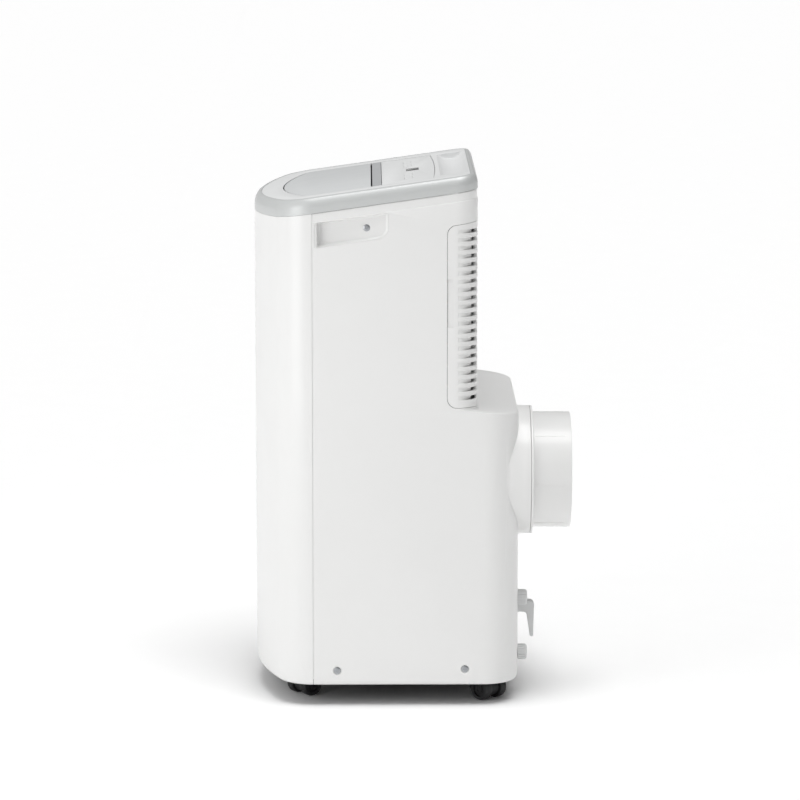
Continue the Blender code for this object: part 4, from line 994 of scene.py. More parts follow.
@dataclass
class Casing(Assembly):
    """The two white casings, with the boss, the grille opening, the intake and the screw recesses."""

    seam_reach: float = 0.006
    ledge_radius: float = 0.0035
    boss_radius: float = 0.082
    boss_start: float = 0.104
    boss_end: float = 0.1488
    boss_bore: float = 0.074
    grille_front: float = 0.0415
    grille_low: float = 0.3832
    grille_drop: float = 0.0402
    grille_corner: float = 0.012
    intake_columns: tuple[Point2, ...] = ((-0.126, -0.079), (-0.071, -0.024))
    handle_low: float = -0.044
    handle_high: float = -0.012
    handle_start: float = -0.1245
    handle_end: float = -0.031
    handle_corner: float = 0.014
    handle_top_corner: float = 0.004
    handle_front_corner: float = 0.003
    handle_screw_y: float = -0.059
    pocket_depths: Point2 = (0.0110, 0.0070)
    pocket_wall: float = 0.0018
    screws: tuple[Point2, ...] = ((-0.097, 0.046), (0.065, 0.048))

    def front_cover(self) -> None:
        """Builds the bowed front cover, with a tongue behind each side seam."""
        env, reach = self.env, self.seam_reach
        nose = [env.edge_radius + (env.nose_height - env.edge_radius) * i / 5 for i in range(1, 6)]
        heights = [*env.edge_heights, *(env.bottom_z + rise for rise in nose)]
        rows = [at_height(env.nosed(env.front_plan(env.edge_inset(z)), z), z) for z in heights]
        lip = ((0.0, 0.0006), (0.0003, 0.0002))
        rows += [at_height(env.front_plan(inset), -drop, env.on_top) for inset, drop in lip]
        cover = walled(from_rows("front_skin", rows), env.wall)
        ends = (env.seam_y - reach, env.seam_y + reach)
        outline = [(y, env.bottom_z + 0.008) for y in ends] + [(y, env.shoulder(y) - 0.002) for y in reversed(ends)]
        tongues = [side_prism("tongue", outline, side, env.half - 0.0027, env.half - 0.0012) for side in SIDES]
        self.shop.fit(joined("front", cover, *tongues), "front_casing", "cabinet", MOULDED_ABS, "front_cover")

    def ledge_rows(self) -> list[list[Point3]]:
        """Rounds the upper edge of the lower bulge and the corner behind it.

        Returns:
            The rows, from the bulge up to the upper back.
        """
        env, radius = self.env, self.ledge_radius
        outer, inner = env.rear_plan(True), env.rear_plan(False)
        depth = env.lower_rear_y - env.upper_rear_y
        turns = [pi / 2 * i / 6 for i in range(7)]
        steps = [(radius * (1 - cos(turn)) / depth, radius * (sin(turn) - 1)) for turn in turns]
        steps += [(1 - radius * (1 - sin(turn)) / depth, radius * (1 - cos(turn))) for turn in turns]
        arc_start = inner[1][1]
        rows = []
        for share, rise in steps:
            row = []
            for (ox, oy), (ix, iy) in zip(outer, inner):
                x, y = ox + (ix - ox) * share, oy + (iy - oy) * share
                swell = min(1.0, hypot(ix - ox, iy - oy) / radius)
                ledge = env.ledge_z - env.ledge_slope * (max(y, arc_start) - env.upper_rear_y)
                row.append((x, y, ledge + rise * swell))
            rows.append(row)
        return rows

    def rear_skin(self) -> Piece:
        """Makes the back casing's skin: lower bulge, ledge, upper back and the slight step under the band.

        Returns:
            The skin, with its wall.
        """
        env = self.env
        rows = [at_height(env.rear_plan(True, env.edge_inset(z)), z) for z in env.edge_heights]
        rows += self.ledge_rows()
        for inset, drop in ((0.0, 0.0125), (0.0004, 0.0117), (0.0008, 0.0112), (0.0008, 0.0009), (0.0012, 0.0004)):
            rows.append(at_height(env.rear_plan(False, inset), -drop, env.on_top))
        return walled(from_rows("rear_skin", rows), env.wall)

    def boss(self) -> Piece:
        """Makes the round boss that swells out of the back's corner up to the exhaust flange.

        Returns:
            The boss.
        """
        radius, start, end = self.boss_radius, self.boss_start, self.boss_end
        swell = [(0.0030, 0.0), (0.0028, 0.0110), (0.0020, 0.0190), (0.0011, 0.0255), (0.0004, 0.0310), (0.0, 0.0360)]
        rounding = [(0.0, 0.0010), (0.0003, 0.0003), (0.0010, 0.0)]
        profile = [(0.0, start), *((radius + out, start + y) for out, y in swell)]
        profile += [*((radius - inset, end - y) for inset, y in rounding), (0.0, end)]
        return spun("boss", profile, along("Y", self.env.exhaust_x, 0, self.env.exhaust_z), 128)

    def grille_prism(self, name: str, trim: float) -> Piece:
        """Makes a prism as wide as the casing through the wrap-round grille's rounded opening.

        Args:
            name: The prism's name.
            trim: How much smaller it is all round.

        Returns:
            The prism.
        """
        env, radius = self.env, self.grille_corner
        rear, low = env.upper_rear_y + 2 * PAST, self.grille_low + trim
        middle = self.grille_front + trim + radius
        high, rear_high = (env.shoulder(y) - self.grille_drop - trim for y in (middle, rear))
        outline = [(rear, low), (rear, rear_high)]
        outline += ring((middle, high - radius), radius, pi / 2, pi, 10)
        outline += ring((middle, low + radius), radius, pi, 3 * pi / 2, 10)
        return prism(name, outline, -env.width, env.width, UP_FROM_AXIS)

    def handle_opening(self, side: int) -> Piece:
        """Makes the cutter for one handle's rounded opening.

        Args:
            side: 1 on the right and -1 on the left.

        Returns:
            The cutter.
        """
        env = self.env
        start, end, low, high = self.handle_start, self.handle_end, self.handle_low, self.handle_high
        radius, top, front = self.handle_corner, self.handle_top_corner, self.handle_front_corner
        outline = ring((end - radius, low + radius), radius, -pi / 2, 0.0, 14)
        outline += ring((end - top, high - top), top, 0.0, pi / 2, 6)
        outline += ring((start + front, high - front), front, pi / 2, pi, 5)
        outline += ring((start + front, low + front), front, pi, 3 * pi / 2, 5)
        risen = [(y, z + env.shoulder(y)) for y, z in outline]
        return side_prism("handle_opening", risen, side, env.half - 2 * PAST, env.half + 2 * PAST)

    def screw_recesses(self) -> list[Piece]:
        """Makes the cutters for the dished recess round each side screw.

        Returns:
            The cutters.
        """
        profile = [(0, -0.0018), (0.0052, -0.0018), (0.0053, -0.0005), (0.0061, 0.0003), (0.0061, 0.004), (0, 0.004)]
        spots = [(side, *screw) for side in SIDES for screw in self.screws]
        return [spun("recess", profile, outwards(side, self.env.half, y, z), 40) for side, y, z in spots]

    def intake_cutter(self) -> Piece:
        """Makes the cutter for the lower intake: one long slot, repeated by a rule in two columns.

        Returns:
            The cutter.
        """
        near, far = self.env.lower_rear_y - PAST, self.env.lower_rear_y + PAST
        points = []
        for left, right in self.intake_columns:
            points += [(left, near, 0.0), (right, near, 0.0), (right, far, 0.0), (left, far, 0.0)]
        plan = from_lists("slot_plan", points, faces=[(0, 1, 2, 3), (4, 5, 6, 7)])
        return stacked("intake_slots", plan, 12, 0.100, 0.020, 0.009, MOULDED_ABS)

    def rear_cover(self) -> None:
        """Builds the back casing with all its openings."""
        env = self.env
        stub_profile = [(0, -0.012), (0.0070, -0.012), (0.0070, 0.0072), (0.0064, 0.008), (0, 0.008)]
        stub = spun("stub", stub_profile, along("Y", env.drain_x, env.lower_rear_y, env.upper_drain_z), 40)
        cover = merged(self.rear_skin(), self.boss(), stub, how=Merge.JOIN)
        holes = [
            rod(name, radius, length, along("Y", x, y, z), steps)
            for name, radius, length, x, y, z, steps in (
                ("bore", self.boss_bore, 0.09, env.exhaust_x, 0.09, env.exhaust_z, 96),
                ("stub_bore", 0.0048, 0.08, env.drain_x, 0.10, env.upper_drain_z, 32),
                ("drain_hole", 0.0076, 0.05, env.drain_x, 0.11, env.lower_drain_z, 32),
                ("bush_hole", 0.0060, 0.05, env.bush_x, 0.11, env.bush_z, 32),
            )
        ]
        holes += [self.grille_prism("grille_opening", 0.0), self.intake_cutter()]
        holes += [self.handle_opening(side) for side in SIDES]
        merged(cover, *holes, *self.screw_recesses())
        self.shop.fit(cover, "rear_casing", "cabinet", MOULDED_ABS, "rear_cover", angle=38)

    def pocket_depth(self, y: float) -> float:
        """The handle pocket's floor: a steep wall in front, then a ramp that runs out at the back.

        Args:
            y: The place along the casing.

        Returns:
            The depth there.
        """
        start, end, reach = self.handle_start, self.handle_end, 0.006
        deepest, fall = self.pocket_depths
        ramp = deepest - fall * max(0.0, (y - start - reach) / (end - start - reach))
        return ramp * eased((y - start) / reach) * eased((end - y + 0.0006) / 0.0040)

    def handle_cup(self, side: int) -> None:
        """Builds one finger pocket, pressed behind the side wall.

        Args:
            side: 1 on the right and -1 on the left.
        """
        env, margin, columns, rows = self.env, 0.004, 84, 44
        start, end = self.handle_start - margin + 0.001, self.handle_end + margin
        low, high = self.handle_low - margin, self.handle_high + margin
        middle_y, middle_z = (self.handle_start + self.handle_end) / 2, (self.handle_low + self.handle_high) / 2
        half_y, half_z = (self.handle_end - self.handle_start) / 2, (self.handle_high - self.handle_low) / 2
        grid = []
        for row in range(rows + 1):
            v = low + (high - low) * row / rows
            rear_corner = self.handle_corner if v < middle_z else self.handle_top_corner
            line = []
            for column in range(columns + 1):
                y = start + (end - start) * column / columns
                corner = self.handle_front_corner if y < middle_y else rear_corner
                inside = rounded_box_distance(y - middle_y, v - middle_z, half_y, half_z, corner)
                sunk = max(env.wall + GAP, self.pocket_depth(y) * eased((inside + 0.0004) / 0.0034))
                line.append((side * (env.half - sunk), y, v + env.shoulder(y)))
            grid.append(line[::side])
        cup = walled(from_rows("pocket", grid), self.pocket_wall)
        word = SIDES[side]
        self.shop.fit(cup, f"handle_pocket_{word}", "cabinet", MOULDED_ABS, f"handle_cup_{word}", angle=60)

    def screw_set(self) -> None:
        """Builds all six screws, set by a rule from one pan head with a cross recess."""
        env = self.env
        profile = [
            (0.0, -0.0105), (0.00175, -0.0090), (0.0018, -0.0013), (0.0045, -0.0013), (0.0043, -0.0008),
            (0.0037, -0.0004), (0.0026, -0.00012), (0.0012, -0.00002), (0.0, 0.0),
        ]
        cross = [
            block("cross", (-x, -y, -0.0011), (x, y, 0.001)) for x, y in ((0.0027, 0.00060), (0.00060, 0.0027))
        ]
        screw = merged(spun("screw_pattern", profile, Matrix.Identity(4), 32), *cross)
        pocket_y = self.handle_screw_y
        pocket_z = env.shoulder(pocket_y) + (self.handle_low + self.handle_high) / 2
        places = [(0.0003, y, z) for y, z in self.screws]
        places.append((self.pocket_depth(pocket_y) - 0.0013, pocket_y, pocket_z))
        spots = [(side * (env.half - sunk), y, z) for side in SIDES for sunk, y, z in places]
        made = aimed("screws", screw, spots, [(1.0 if x > 0 else -1.0, 0.0, 0.0) for x, _, _ in spots], ZINC_STEEL)
        nodes = [f"handle_screw_{word}" for word in SIDES.values()]
        nodes += [f"side_screw_{word}_{place}" for word in SIDES.values() for place in ("front", "rear")]
        self.shop.fit(made, "casing_screws", "cabinet", ZINC_STEEL, *nodes)

    def build(self) -> None:
        """Builds the casings, the pockets and the screws."""
        self.front_cover()
        self.rear_cover()
        for side in SIDES:
            self.handle_cup(side)
        self.screw_set()


@dataclass
class Crown(Assembly):
    """The silver band, the sloping top with its tray, the outlet flap and the control panel."""

    band_profile: tuple[Point2, ...] = (
        (0, 0), (0, 0.0040), (0, 0.0082), (0.0003, 0.0104), (0.0011, 0.0130), (0.0022, 0.0152),
        (0.0034, 0.0172), (0.0046, 0.0185), (0.0060, 0.0193), (0.0074, 0.0197), (0.0090, 0.01975),
    )
    band_wall: float = 0.002
    cover_inset: float = 0.0094
    cover_thickness: float = 0.0027
    flap_gap: float = 0.0015
    flap_thickness: float = 0.003
    flap_rear: float = -0.0538
    flap_axis_y: float = -0.0564
    flap_axis_height: float = 0.0140
    throat_rear: float = -0.0474
    lip_rear: float = -0.0404
    duct_wall: float = 0.0020
    duct_base: tuple[float, float, float, float] = (0.113, -0.075, 0.080, 0.5635)
    vane_xs: tuple[float, ...] = (-0.084, -0.028, 0.028, 0.084)
    tray_y: float = 0.049
    tray_radius: float = 0.024
    tray_depth: float = 0.008
    tray_half: float = 0.128
    button_y: float = -0.006
    buttons: dict[str, float] = field(
        default_factory=lambda: dict(button_power=-0.092, button_mode=-0.052, button_minus=0.052, button_plus=0.092)
    )

    @property
    def flap_swing(self) -> float:
        """How far the flap's upper rear edge is from its axis."""
        return hypot(self.flap_rear - self.flap_axis_y, self.env.top_height - self.flap_axis_height)

    def top_block(self, name: str, low: Point3, high: Point3) -> Piece:
        """A box whose heights are above the sloping shoulder."""
        return block(name, low, high, self.env.on_top)

    def rounded_block(self, x: float, y: float, half: Point2, low: float, high: float, radius: float) -> Piece:
        """Makes a block with rounded corners in plan, on the sloping top.

        Args:
            x: Its middle across.
            y: Its middle along.
            half: Half its width and half its depth.
            low: Its underside above the shoulder.
            high: Its top above the shoulder.
            radius: Its corners' radius.

        Returns:
            The block.
        """
        outline: list[Point2] = []
        for quarter, (sx, sy) in enumerate(((1, 1), (-1, 1), (-1, -1), (1, -1))):
            centre = (x + sx * (half[0] - radius), y + sy * (half[1] - radius))
            outline += ring(centre, radius, quarter * pi / 2, (quarter + 1) * pi / 2, 6)
        return prism("rounded_block", outline, low, high, lift=self.env.on_top)

    def axis_at(self, x: float, side: int = 1) -> Matrix:
        """The place of a piece that is turned round the flap's axis, from a point across."""
        return outwards(side, x, self.flap_axis_y, self.env.shoulder(self.flap_axis_y) + self.flap_axis_height)

    def ring_plan(self, inset: float) -> list[Point2]:
        """The whole top's plan at an inset, as a ring."""
        return self.env.front_plan(inset) + self.env.rear_plan(False, inset)[1:-1]

    def rear_edge(self, half: float, steps: int, clearance: float = 0.0) -> list[Point2]:
        """The panel's bowed rear edge, from right to left."""
        xs = [half - 2 * half * i / steps for i in range(steps + 1)]
        return [(x, self.env.panel_edge(x, clearance)) for x in xs]

    def flap_outline(self, inset: float, rear: float) -> list[Point2]:
        """The D-shaped plan of the flap and of the duct's mouth."""
        half = self.env.half - inset
        return self.env.front_plan(inset, 12, 30) + [(half, rear), (-half, rear)]

    def band(self) -> None:
        """Builds the silver band, swept round the top by a rule."""
        env, wall = self.env, self.band_wall
        last_inset, last_height = self.band_profile[-1]
        outer = [(-inset, -height) for inset, height in self.band_profile]
        inner = [(-inset - wall, -max(0.0, height - wall * 0.6)) for inset, height in self.band_profile[:-1]]
        inner.append((-last_inset, wall - last_height))
        profile = wire("band_profile", at_height(outer + inner[::-1], 0.0))
        path = wire("band_path", at_height(self.ring_plan(0.0), 0.0))
        made = swept("band", path, profile, env.slope, env.shoulder_z - env.slope * env.seam_y, SILVER_LACQUER)
        self.shop.fit(made, "silver_band", "cabinet", SILVER_LACQUER, "top_trim", angle=40)

    def cover(self) -> None:
        """Builds the sloping top with its opening and its scooped tray."""
        env, high = self.env, self.env.top_height
        low = high - self.cover_thickness
        tray_x, tray_y = self.tray_half + 0.003, self.tray_y
        tray_low = (-tray_x, tray_y - 0.017, high - self.tray_depth - 0.003)
        tray = self.top_block("tray", tray_low, (tray_x, tray_y + 0.0182, low + 0.001))
        sheet = prism("cover", self.ring_plan(self.cover_inset), low, high, lift=env.on_top)
        made = merged(sheet, tray, how=Merge.JOIN)
        outline = env.front_plan(env.opening_inset, 12, 30) + self.rear_edge(env.half - env.opening_inset, 24, 0.0006)
        opening = prism("opening", outline, low - 2 * PAST, high + PAST, lift=env.on_top)
        rounding = [(0.004, 0.0), (0.0012, 0.0012), (0.0, 0.004)]
        radius, length = self.tray_radius, 2 * self.tray_half
        profile = [(0.0, 0.0), *((radius - inset, x) for inset, x in rounding)]
        profile += [*((radius - inset, length - x) for inset, x in rounding[::-1]), (0.0, length)]
        height = env.shoulder(tray_y) + high + radius - self.tray_depth
        scoop = spun("scoop", profile, along("X", -self.tray_half, tray_y, height), 96)
        made = softened(merged(made, opening, scoop), 0.0005)
        self.shop.fit(made, "top_with_tray", "cabinet", SATIN_ABS, "top_cover")

    def flap(self) -> None:
        """Builds the outlet flap, with a crowned rim, its lugs and its pins."""
        env, high = self.env, self.env.top_height
        inset, low = env.opening_inset + self.flap_gap, high - self.flap_thickness
        rim = [(0.0006, low), (0.0, low + 0.0005), (0.0, high - 0.0008), (0.0003, high - 0.0003), (0.0009, high)]
        rows = [
            at_height(self.flap_outline(inset + extra, self.flap_rear + 0.0003 - extra * 0.5), height, env.on_top)
            for extra, height in rim
        ]
        made = from_rows("flap", rows, closed=True, capped=True)
        inner, axis_y, axis_height = env.half - inset - 0.010, self.flap_axis_y, self.flap_axis_height
        pin = [(0, 0), (0.0017, 0), (0.0017, 0.0122), (0.0014, 0.0125), (0, 0.0125)]
        fittings = []
        for side in SIDES:
            near, far = sorted((side * inner, side * (inner + 0.004)))
            lug_low = (near, axis_y - 0.0035, axis_height - 0.003)
            fittings.append(self.top_block("lug", lug_low, (far, axis_y + 0.002, low + 0.001)))
            fittings.append(spun("pin", pin, self.axis_at(inner + 0.001, side), 24))
        merged(tidied(made), *fittings, how=Merge.JOIN)
        self.shop.fit(made, "outlet_flap_panel", "flap", GREY_ABS, "outlet_flap")

    def duct(self) -> None:
        """Builds the outlet duct under the flap, with its hollowed rear lip and the rail of the vanes."""
        env, axis_y, axis_height = self.env, self.flap_axis_y, self.flap_axis_height
        inset = env.opening_inset + self.flap_gap + 0.0015
        mouth = self.flap_outline(inset, self.throat_rear)
        deep = env.top_height - self.flap_thickness - 0.0008
        front = min(y for _, y in mouth)
        depth, half = self.throat_rear - front, env.half - inset
        base_half, base_front, base_depth, base_z = self.duct_base
        neck = deep - 0.030
        base = [(x * base_half / half, base_front + (y - front) * base_depth / depth) for x, y in mouth]
        rows = []
        for i in range(7):
            share = eased(i / 6)
            rows.append([
                (bx + (x - bx) * share, by + (y - by) * share, base_z + (env.shoulder(y) + neck - base_z) * i / 6)
                for (bx, by), (x, y) in zip(base, mouth)
            ])
        rows.append(at_height(mouth, deep, env.on_top))
        notch_high = (env.half, axis_y + self.flap_swing + 0.0004, env.top_height + 0.004)
        notch = self.top_block("notch", (-env.half, axis_y - 0.0021, axis_height - 0.0023), notch_high)
        made = merged(walled(from_rows("duct", rows, closed=True), self.duct_wall), notch)
        lip_low = (-half - 0.001, self.flap_rear + 0.0020, env.top_height - 0.004)
        lip = self.top_block("lip", lip_low, (half + 0.001, self.lip_rear, env.top_height))
        sweep = rod("sweep", self.flap_swing + 0.0005, env.width, self.axis_at(-env.half), 96)
        softened(merged(lip, sweep), 0.0003, 1)
        rail = block("rail", (-0.1278, -0.099, 0.600), (0.1278, -0.091, 0.606))
        merged(rail, *(rod("vane_hole", 0.0023, 0.01, along("Z", x, -0.095, 0.598), 20) for x in self.vane_xs))
        self.shop.fit(joined("duct", made, lip, rail), "outlet_throat", "cabinet", DUCT_PP, "outlet_duct")

    def panel(self) -> None:
        """Builds the control panel with its pane and its four buttons."""
        env = self.env
        half = env.half - env.opening_inset - 0.0006
        high = env.top_height - 0.0006
        low, through = high - 0.0022, (high - 0.0022 - PAST, high + PAST)
        front = self.lip_rear + 0.0006
        panel = prism("panel", [(-half, front), (half, front), *self.rear_edge(half, 32)], low, high, lift=env.on_top)
        hole = (0.0103, 0.0053)
        holes = [self.rounded_block(0.0, 0.0, (0.015, 0.008), *through, 0.0015)]
        holes += [self.rounded_block(x, self.button_y, hole, *through, 0.0024) for x in self.buttons.values()]
        self.shop.fit(softened(merged(panel, *holes), 0.0004), "control_fascia", "cabinet", SATIN_ABS, "control_panel")
        pane = softened(self.rounded_block(0.0, 0.0, (0.0147, 0.0077), low, high - GAP, 0.0013), 0.0003)
        self.shop.fit(pane, "display_pane", "cabinet", TINTED_ACRYLIC, "display_lens")
        for name, x in self.buttons.items():
            self.button(name, x, low, high)

    def button(self, name: str, x: float, low: float, high: float) -> None:
        """Builds one button: a rounded cap, its raised sign and its flange.

        Args:
            name: The CAD node.
            x: Its place across the panel.
            low: The panel's underside above the shoulder.
            high: The panel's face above the shoulder.
        """
        y, face, sign_height = self.button_y, high + 0.00015, 0.00025
        bottom = low - 0.003
        cap = softened(self.rounded_block(x, y, (0.0100, 0.0050), bottom, high + 0.0002, 0.0020), 0.0004)
        flange = self.top_block("flange", (x - 0.012, y - 0.007, bottom), (x + 0.012, y + 0.007, low - GAP))
        long, thin = 0.0022, 0.0004
        bars = {"button_minus": ((long, thin),), "button_plus": ((long, thin), (thin, long))}
        dots = {
            "button_power": ((0.0, 0.0018, 0.00175),),
            "button_mode": tuple((dx, 0.0006, 0.00058) for dx in (-long, 0.0, long)),
        }
        signs = []
        for i, (half_x, half_y) in enumerate(bars.get(name, ())):
            top = face + sign_height + 0.00001 * i
            signs.append(self.top_block("bar", (x - half_x, y - half_y, face), (x + half_x, y + half_y, top)))
        signs += [
            self.rounded_block(x + dx, y, (half, half), face, face + sign_height, radius)
            for dx, half, radius in dots.get(name, ())
        ]
        self.shop.fit(joined(name, cap, flange, *signs), name + "_key", name, SATIN_ABS, name)

    def build(self) -> None:
        """Builds everything above the shoulder."""
        self.band()
        self.cover()
        self.flap()
        self.duct()
        self.panel()


@dataclass
class InletGrille(Assembly):
    """The wrap-round intake grille: a frame and a stack of slats that a rule repeats along its plan."""

    casing: Casing
    count: int = 21
    first: float = 0.3958
    last: float = 0.6066
    opening: float = 0.0050
    slat_start: float = 0.0555
    slat_depth: float = 0.0062
    plan_steps: int = 24
    frame_wall: float = 0.0030
    rib_xs: tuple[float, ...] = (-0.080, 0.0, 0.080)

    def slats(self) -> Piece:
        """Makes the slats, from a flat strip that follows the back's plan.

        Returns:
            The slats.
        """
        start, steps = self.slat_start - 0.0008, self.plan_steps
        outer, inner = (self.env.rear_plan(False, inset, steps, start) for inset in (0.0, self.slat_depth))
        count = len(outer)
        faces = [(i, i + 1, count + i + 1, count + i) for i in range(count - 1)]
        strip = from_lists("strip", at_height(outer + inner, 0.0), faces=faces)
        pitch = (self.last - self.first) / (self.count - 1)
        low, height = self.first + self.opening / 2, pitch - self.opening
        return softened(stacked("slats", strip, self.count - 1, low, pitch, height, MOULDED_ABS), 0.0009, 2, 50)

    def frame(self) -> Piece:
        """Makes the frame: the back's own skin inside the rounded opening, with the louvre window cut out.

        Returns:
            The frame.
        """
        env, casing = self.env, self.casing
        low, front, rear = casing.grille_low, casing.grille_front + 0.0005, env.upper_rear_y + 2 * PAST
        plan = env.rear_plan(False, 0.0, self.plan_steps, casing.grille_front - 0.004)
        rows = [
            [(x, y, low - 0.004 + (env.shoulder(y) - casing.grille_drop + 0.008 - low) * i / 2) for x, y in plan]
            for i in range(3)
        ]
        skin = walled(from_rows("grille_skin", rows), self.frame_wall)
        merged(skin, casing.grille_prism("grille_keep", 0.0005), how=Merge.TRIM)
        window_low, window_high = self.first - self.opening / 2, self.last + self.opening / 2
        cutters = [block("window", (-env.width, self.slat_start, window_low), (env.width, rear, window_high))]
        for side in SIDES:
            near, far = sorted((side * (env.half - 0.0016), side * (env.half + PAST)))
            cutters.append(block("notch", (near, front - PAST, 0.486), (far, front + 0.0075, 0.547)))
        return merged(skin, *cutters)

    def ramps(self) -> Piece:
        """Makes the curved floors of the slots' front ends, which sink deeper and deeper round each corner.

        Returns:
            The ramps.
        """
        env, steps, wall = self.env, 14, 0.0014
        radius = env.upper_corner
        centre_x, centre_y = env.half - radius, env.upper_rear_y - radius
        start, end = asin((self.slat_start + 0.0002 - centre_y) / radius), radians(66)
        outer, inner = [], []
        for i in range(steps + 1):
            turn = start + (end - start) * i / steps
            reach = radius - (0.0003 + 0.0060 * eased(i / steps) ** 0.8)
            outer.append((centre_x + reach * cos(turn), centre_y + reach * sin(turn)))
            inner.append((centre_x + (reach - wall) * cos(turn), centre_y + (reach - wall) * sin(turn)))
        right = outer + inner[::-1]
        low, high = self.first - 0.004, self.last + 0.004
        return joined("ramps", *(prism("ramp", plan, low, high) for plan in (right, mirrored(right))))

    def build(self) -> None:
        """Builds the frame, the slats, the ramps and the upright ribs as one piece."""
        rear, low, high = self.env.upper_rear_y, self.first - 0.008, self.last + 0.006
        ribs = [block("rib", (x - 0.002, rear - 0.0105, low), (x + 0.002, rear - 0.0060, high)) for x in self.rib_xs]
        slats = self.slats()
        whole = joined("grille", self.frame(), slats, self.ramps(), *ribs)
        self.shop.fit(whole, "intake_grille", "grille", MOULDED_ABS, "inlet_grille")
        self.shop.keep(FILTER_CLOTH, "air_filter")


@dataclass
class Exhaust(Assembly):
    """The hose adapter with its ribs, and the guard behind it."""

    radius: float = 0.0738
    wall: float = 0.0025
    flange_radius: float = 0.082
    face: float = 0.1491
    end: float = 0.2005
    ribs: int = 7
    rib_turn: float = 6.4
    guard_radius: float = 0.0734
    guard_depth: float = 0.004
    guard_y: float = 0.126
    guard_bars: int = 13

    def adapter(self) -> None:
        """Builds the round adapter: spigot, rim and flange, with fine guide ribs set by a rule."""
        radius, end, face, rim = self.radius, self.end, self.face, self.flange_radius
        inner, flange = radius - self.wall, face + 0.0027
        profile = [
            (inner, face - 0.009), (inner, end - 0.0008), (inner + 0.0006, end), (radius - 0.0012, end),
            (radius - 0.0004, end - 0.0003), (radius, end - 0.0012), (radius, flange + 0.0012),
            (radius + 0.0004, flange + 0.0003), (radius + 0.0014, flange), (rim - 0.0005, flange),
            (rim, flange - 0.0006), (rim, face + 0.0004), (rim - 0.0004, face), (0.0734, face),
            (0.0734, face - 0.009), (inner, face - 0.009),
        ]
        body = spun("adapter", profile, Matrix.Identity(4), 128)
        length = end - flange - 0.010
        middle = flange + 0.002 + length / 2
        made = ribbed("adapter", body, self.ribs, radius, (0.0008, 0.0011, length), middle, MOULDED_ABS)
        place = along("Y", self.env.exhaust_x, 0, self.env.exhaust_z)
        made.data.transform(place @ Matrix.Rotation(radians(self.rib_turn), 4, "Z"))
        self.shop.fit(made, "hose_adapter", "adapter", MOULDED_ABS, "duct_adapter")

    def guard(self) -> None:
        """Builds the round guard: a rim, a hub, a cross bar and a row of upright bars."""
        radius, depth, y, count = self.guard_radius, self.guard_depth, self.guard_y, self.guard_bars
        x, z = self.env.exhaust_x, self.env.exhaust_z
        place, inner = along("Y", x, y, z), radius - 0.004
        rim = [(inner, 0), (radius, 0), (radius, depth), (inner + 0.0006, depth), (inner, depth - 0.0006), (inner, 0)]
        hub = [(0, 0), (0.012, 0), (0.012, depth + 0.0008), (0.0108, depth + 0.0016), (0, depth + 0.0016)]
        parts = [spun("rim", rim, place, 96), spun("hub", hub, place, 48)]
        reach = radius - 0.002
        parts.append(block("cross", (x - reach, y + 0.0007, z - 0.0012), (x + reach, y + depth - 0.0007, z + 0.0012)))
        for i in range(count):
            dx = -radius + 2 * radius * (i + 0.5) / count
            half = sqrt(reach**2 - dx * dx)
            low = (x + dx - 0.0010, y + 0.0005, z - half)
            parts.append(block("bar", low, (x + dx + 0.0010, y + depth - 0.0005, z + half)))
        self.shop.fit(joined("guard", *parts), "finger_guard", "cabinet", DUCT_PP, "exhaust_guard")

    def build(self) -> None:
        """Builds the adapter and the guard."""
        self.adapter()
        self.guard()


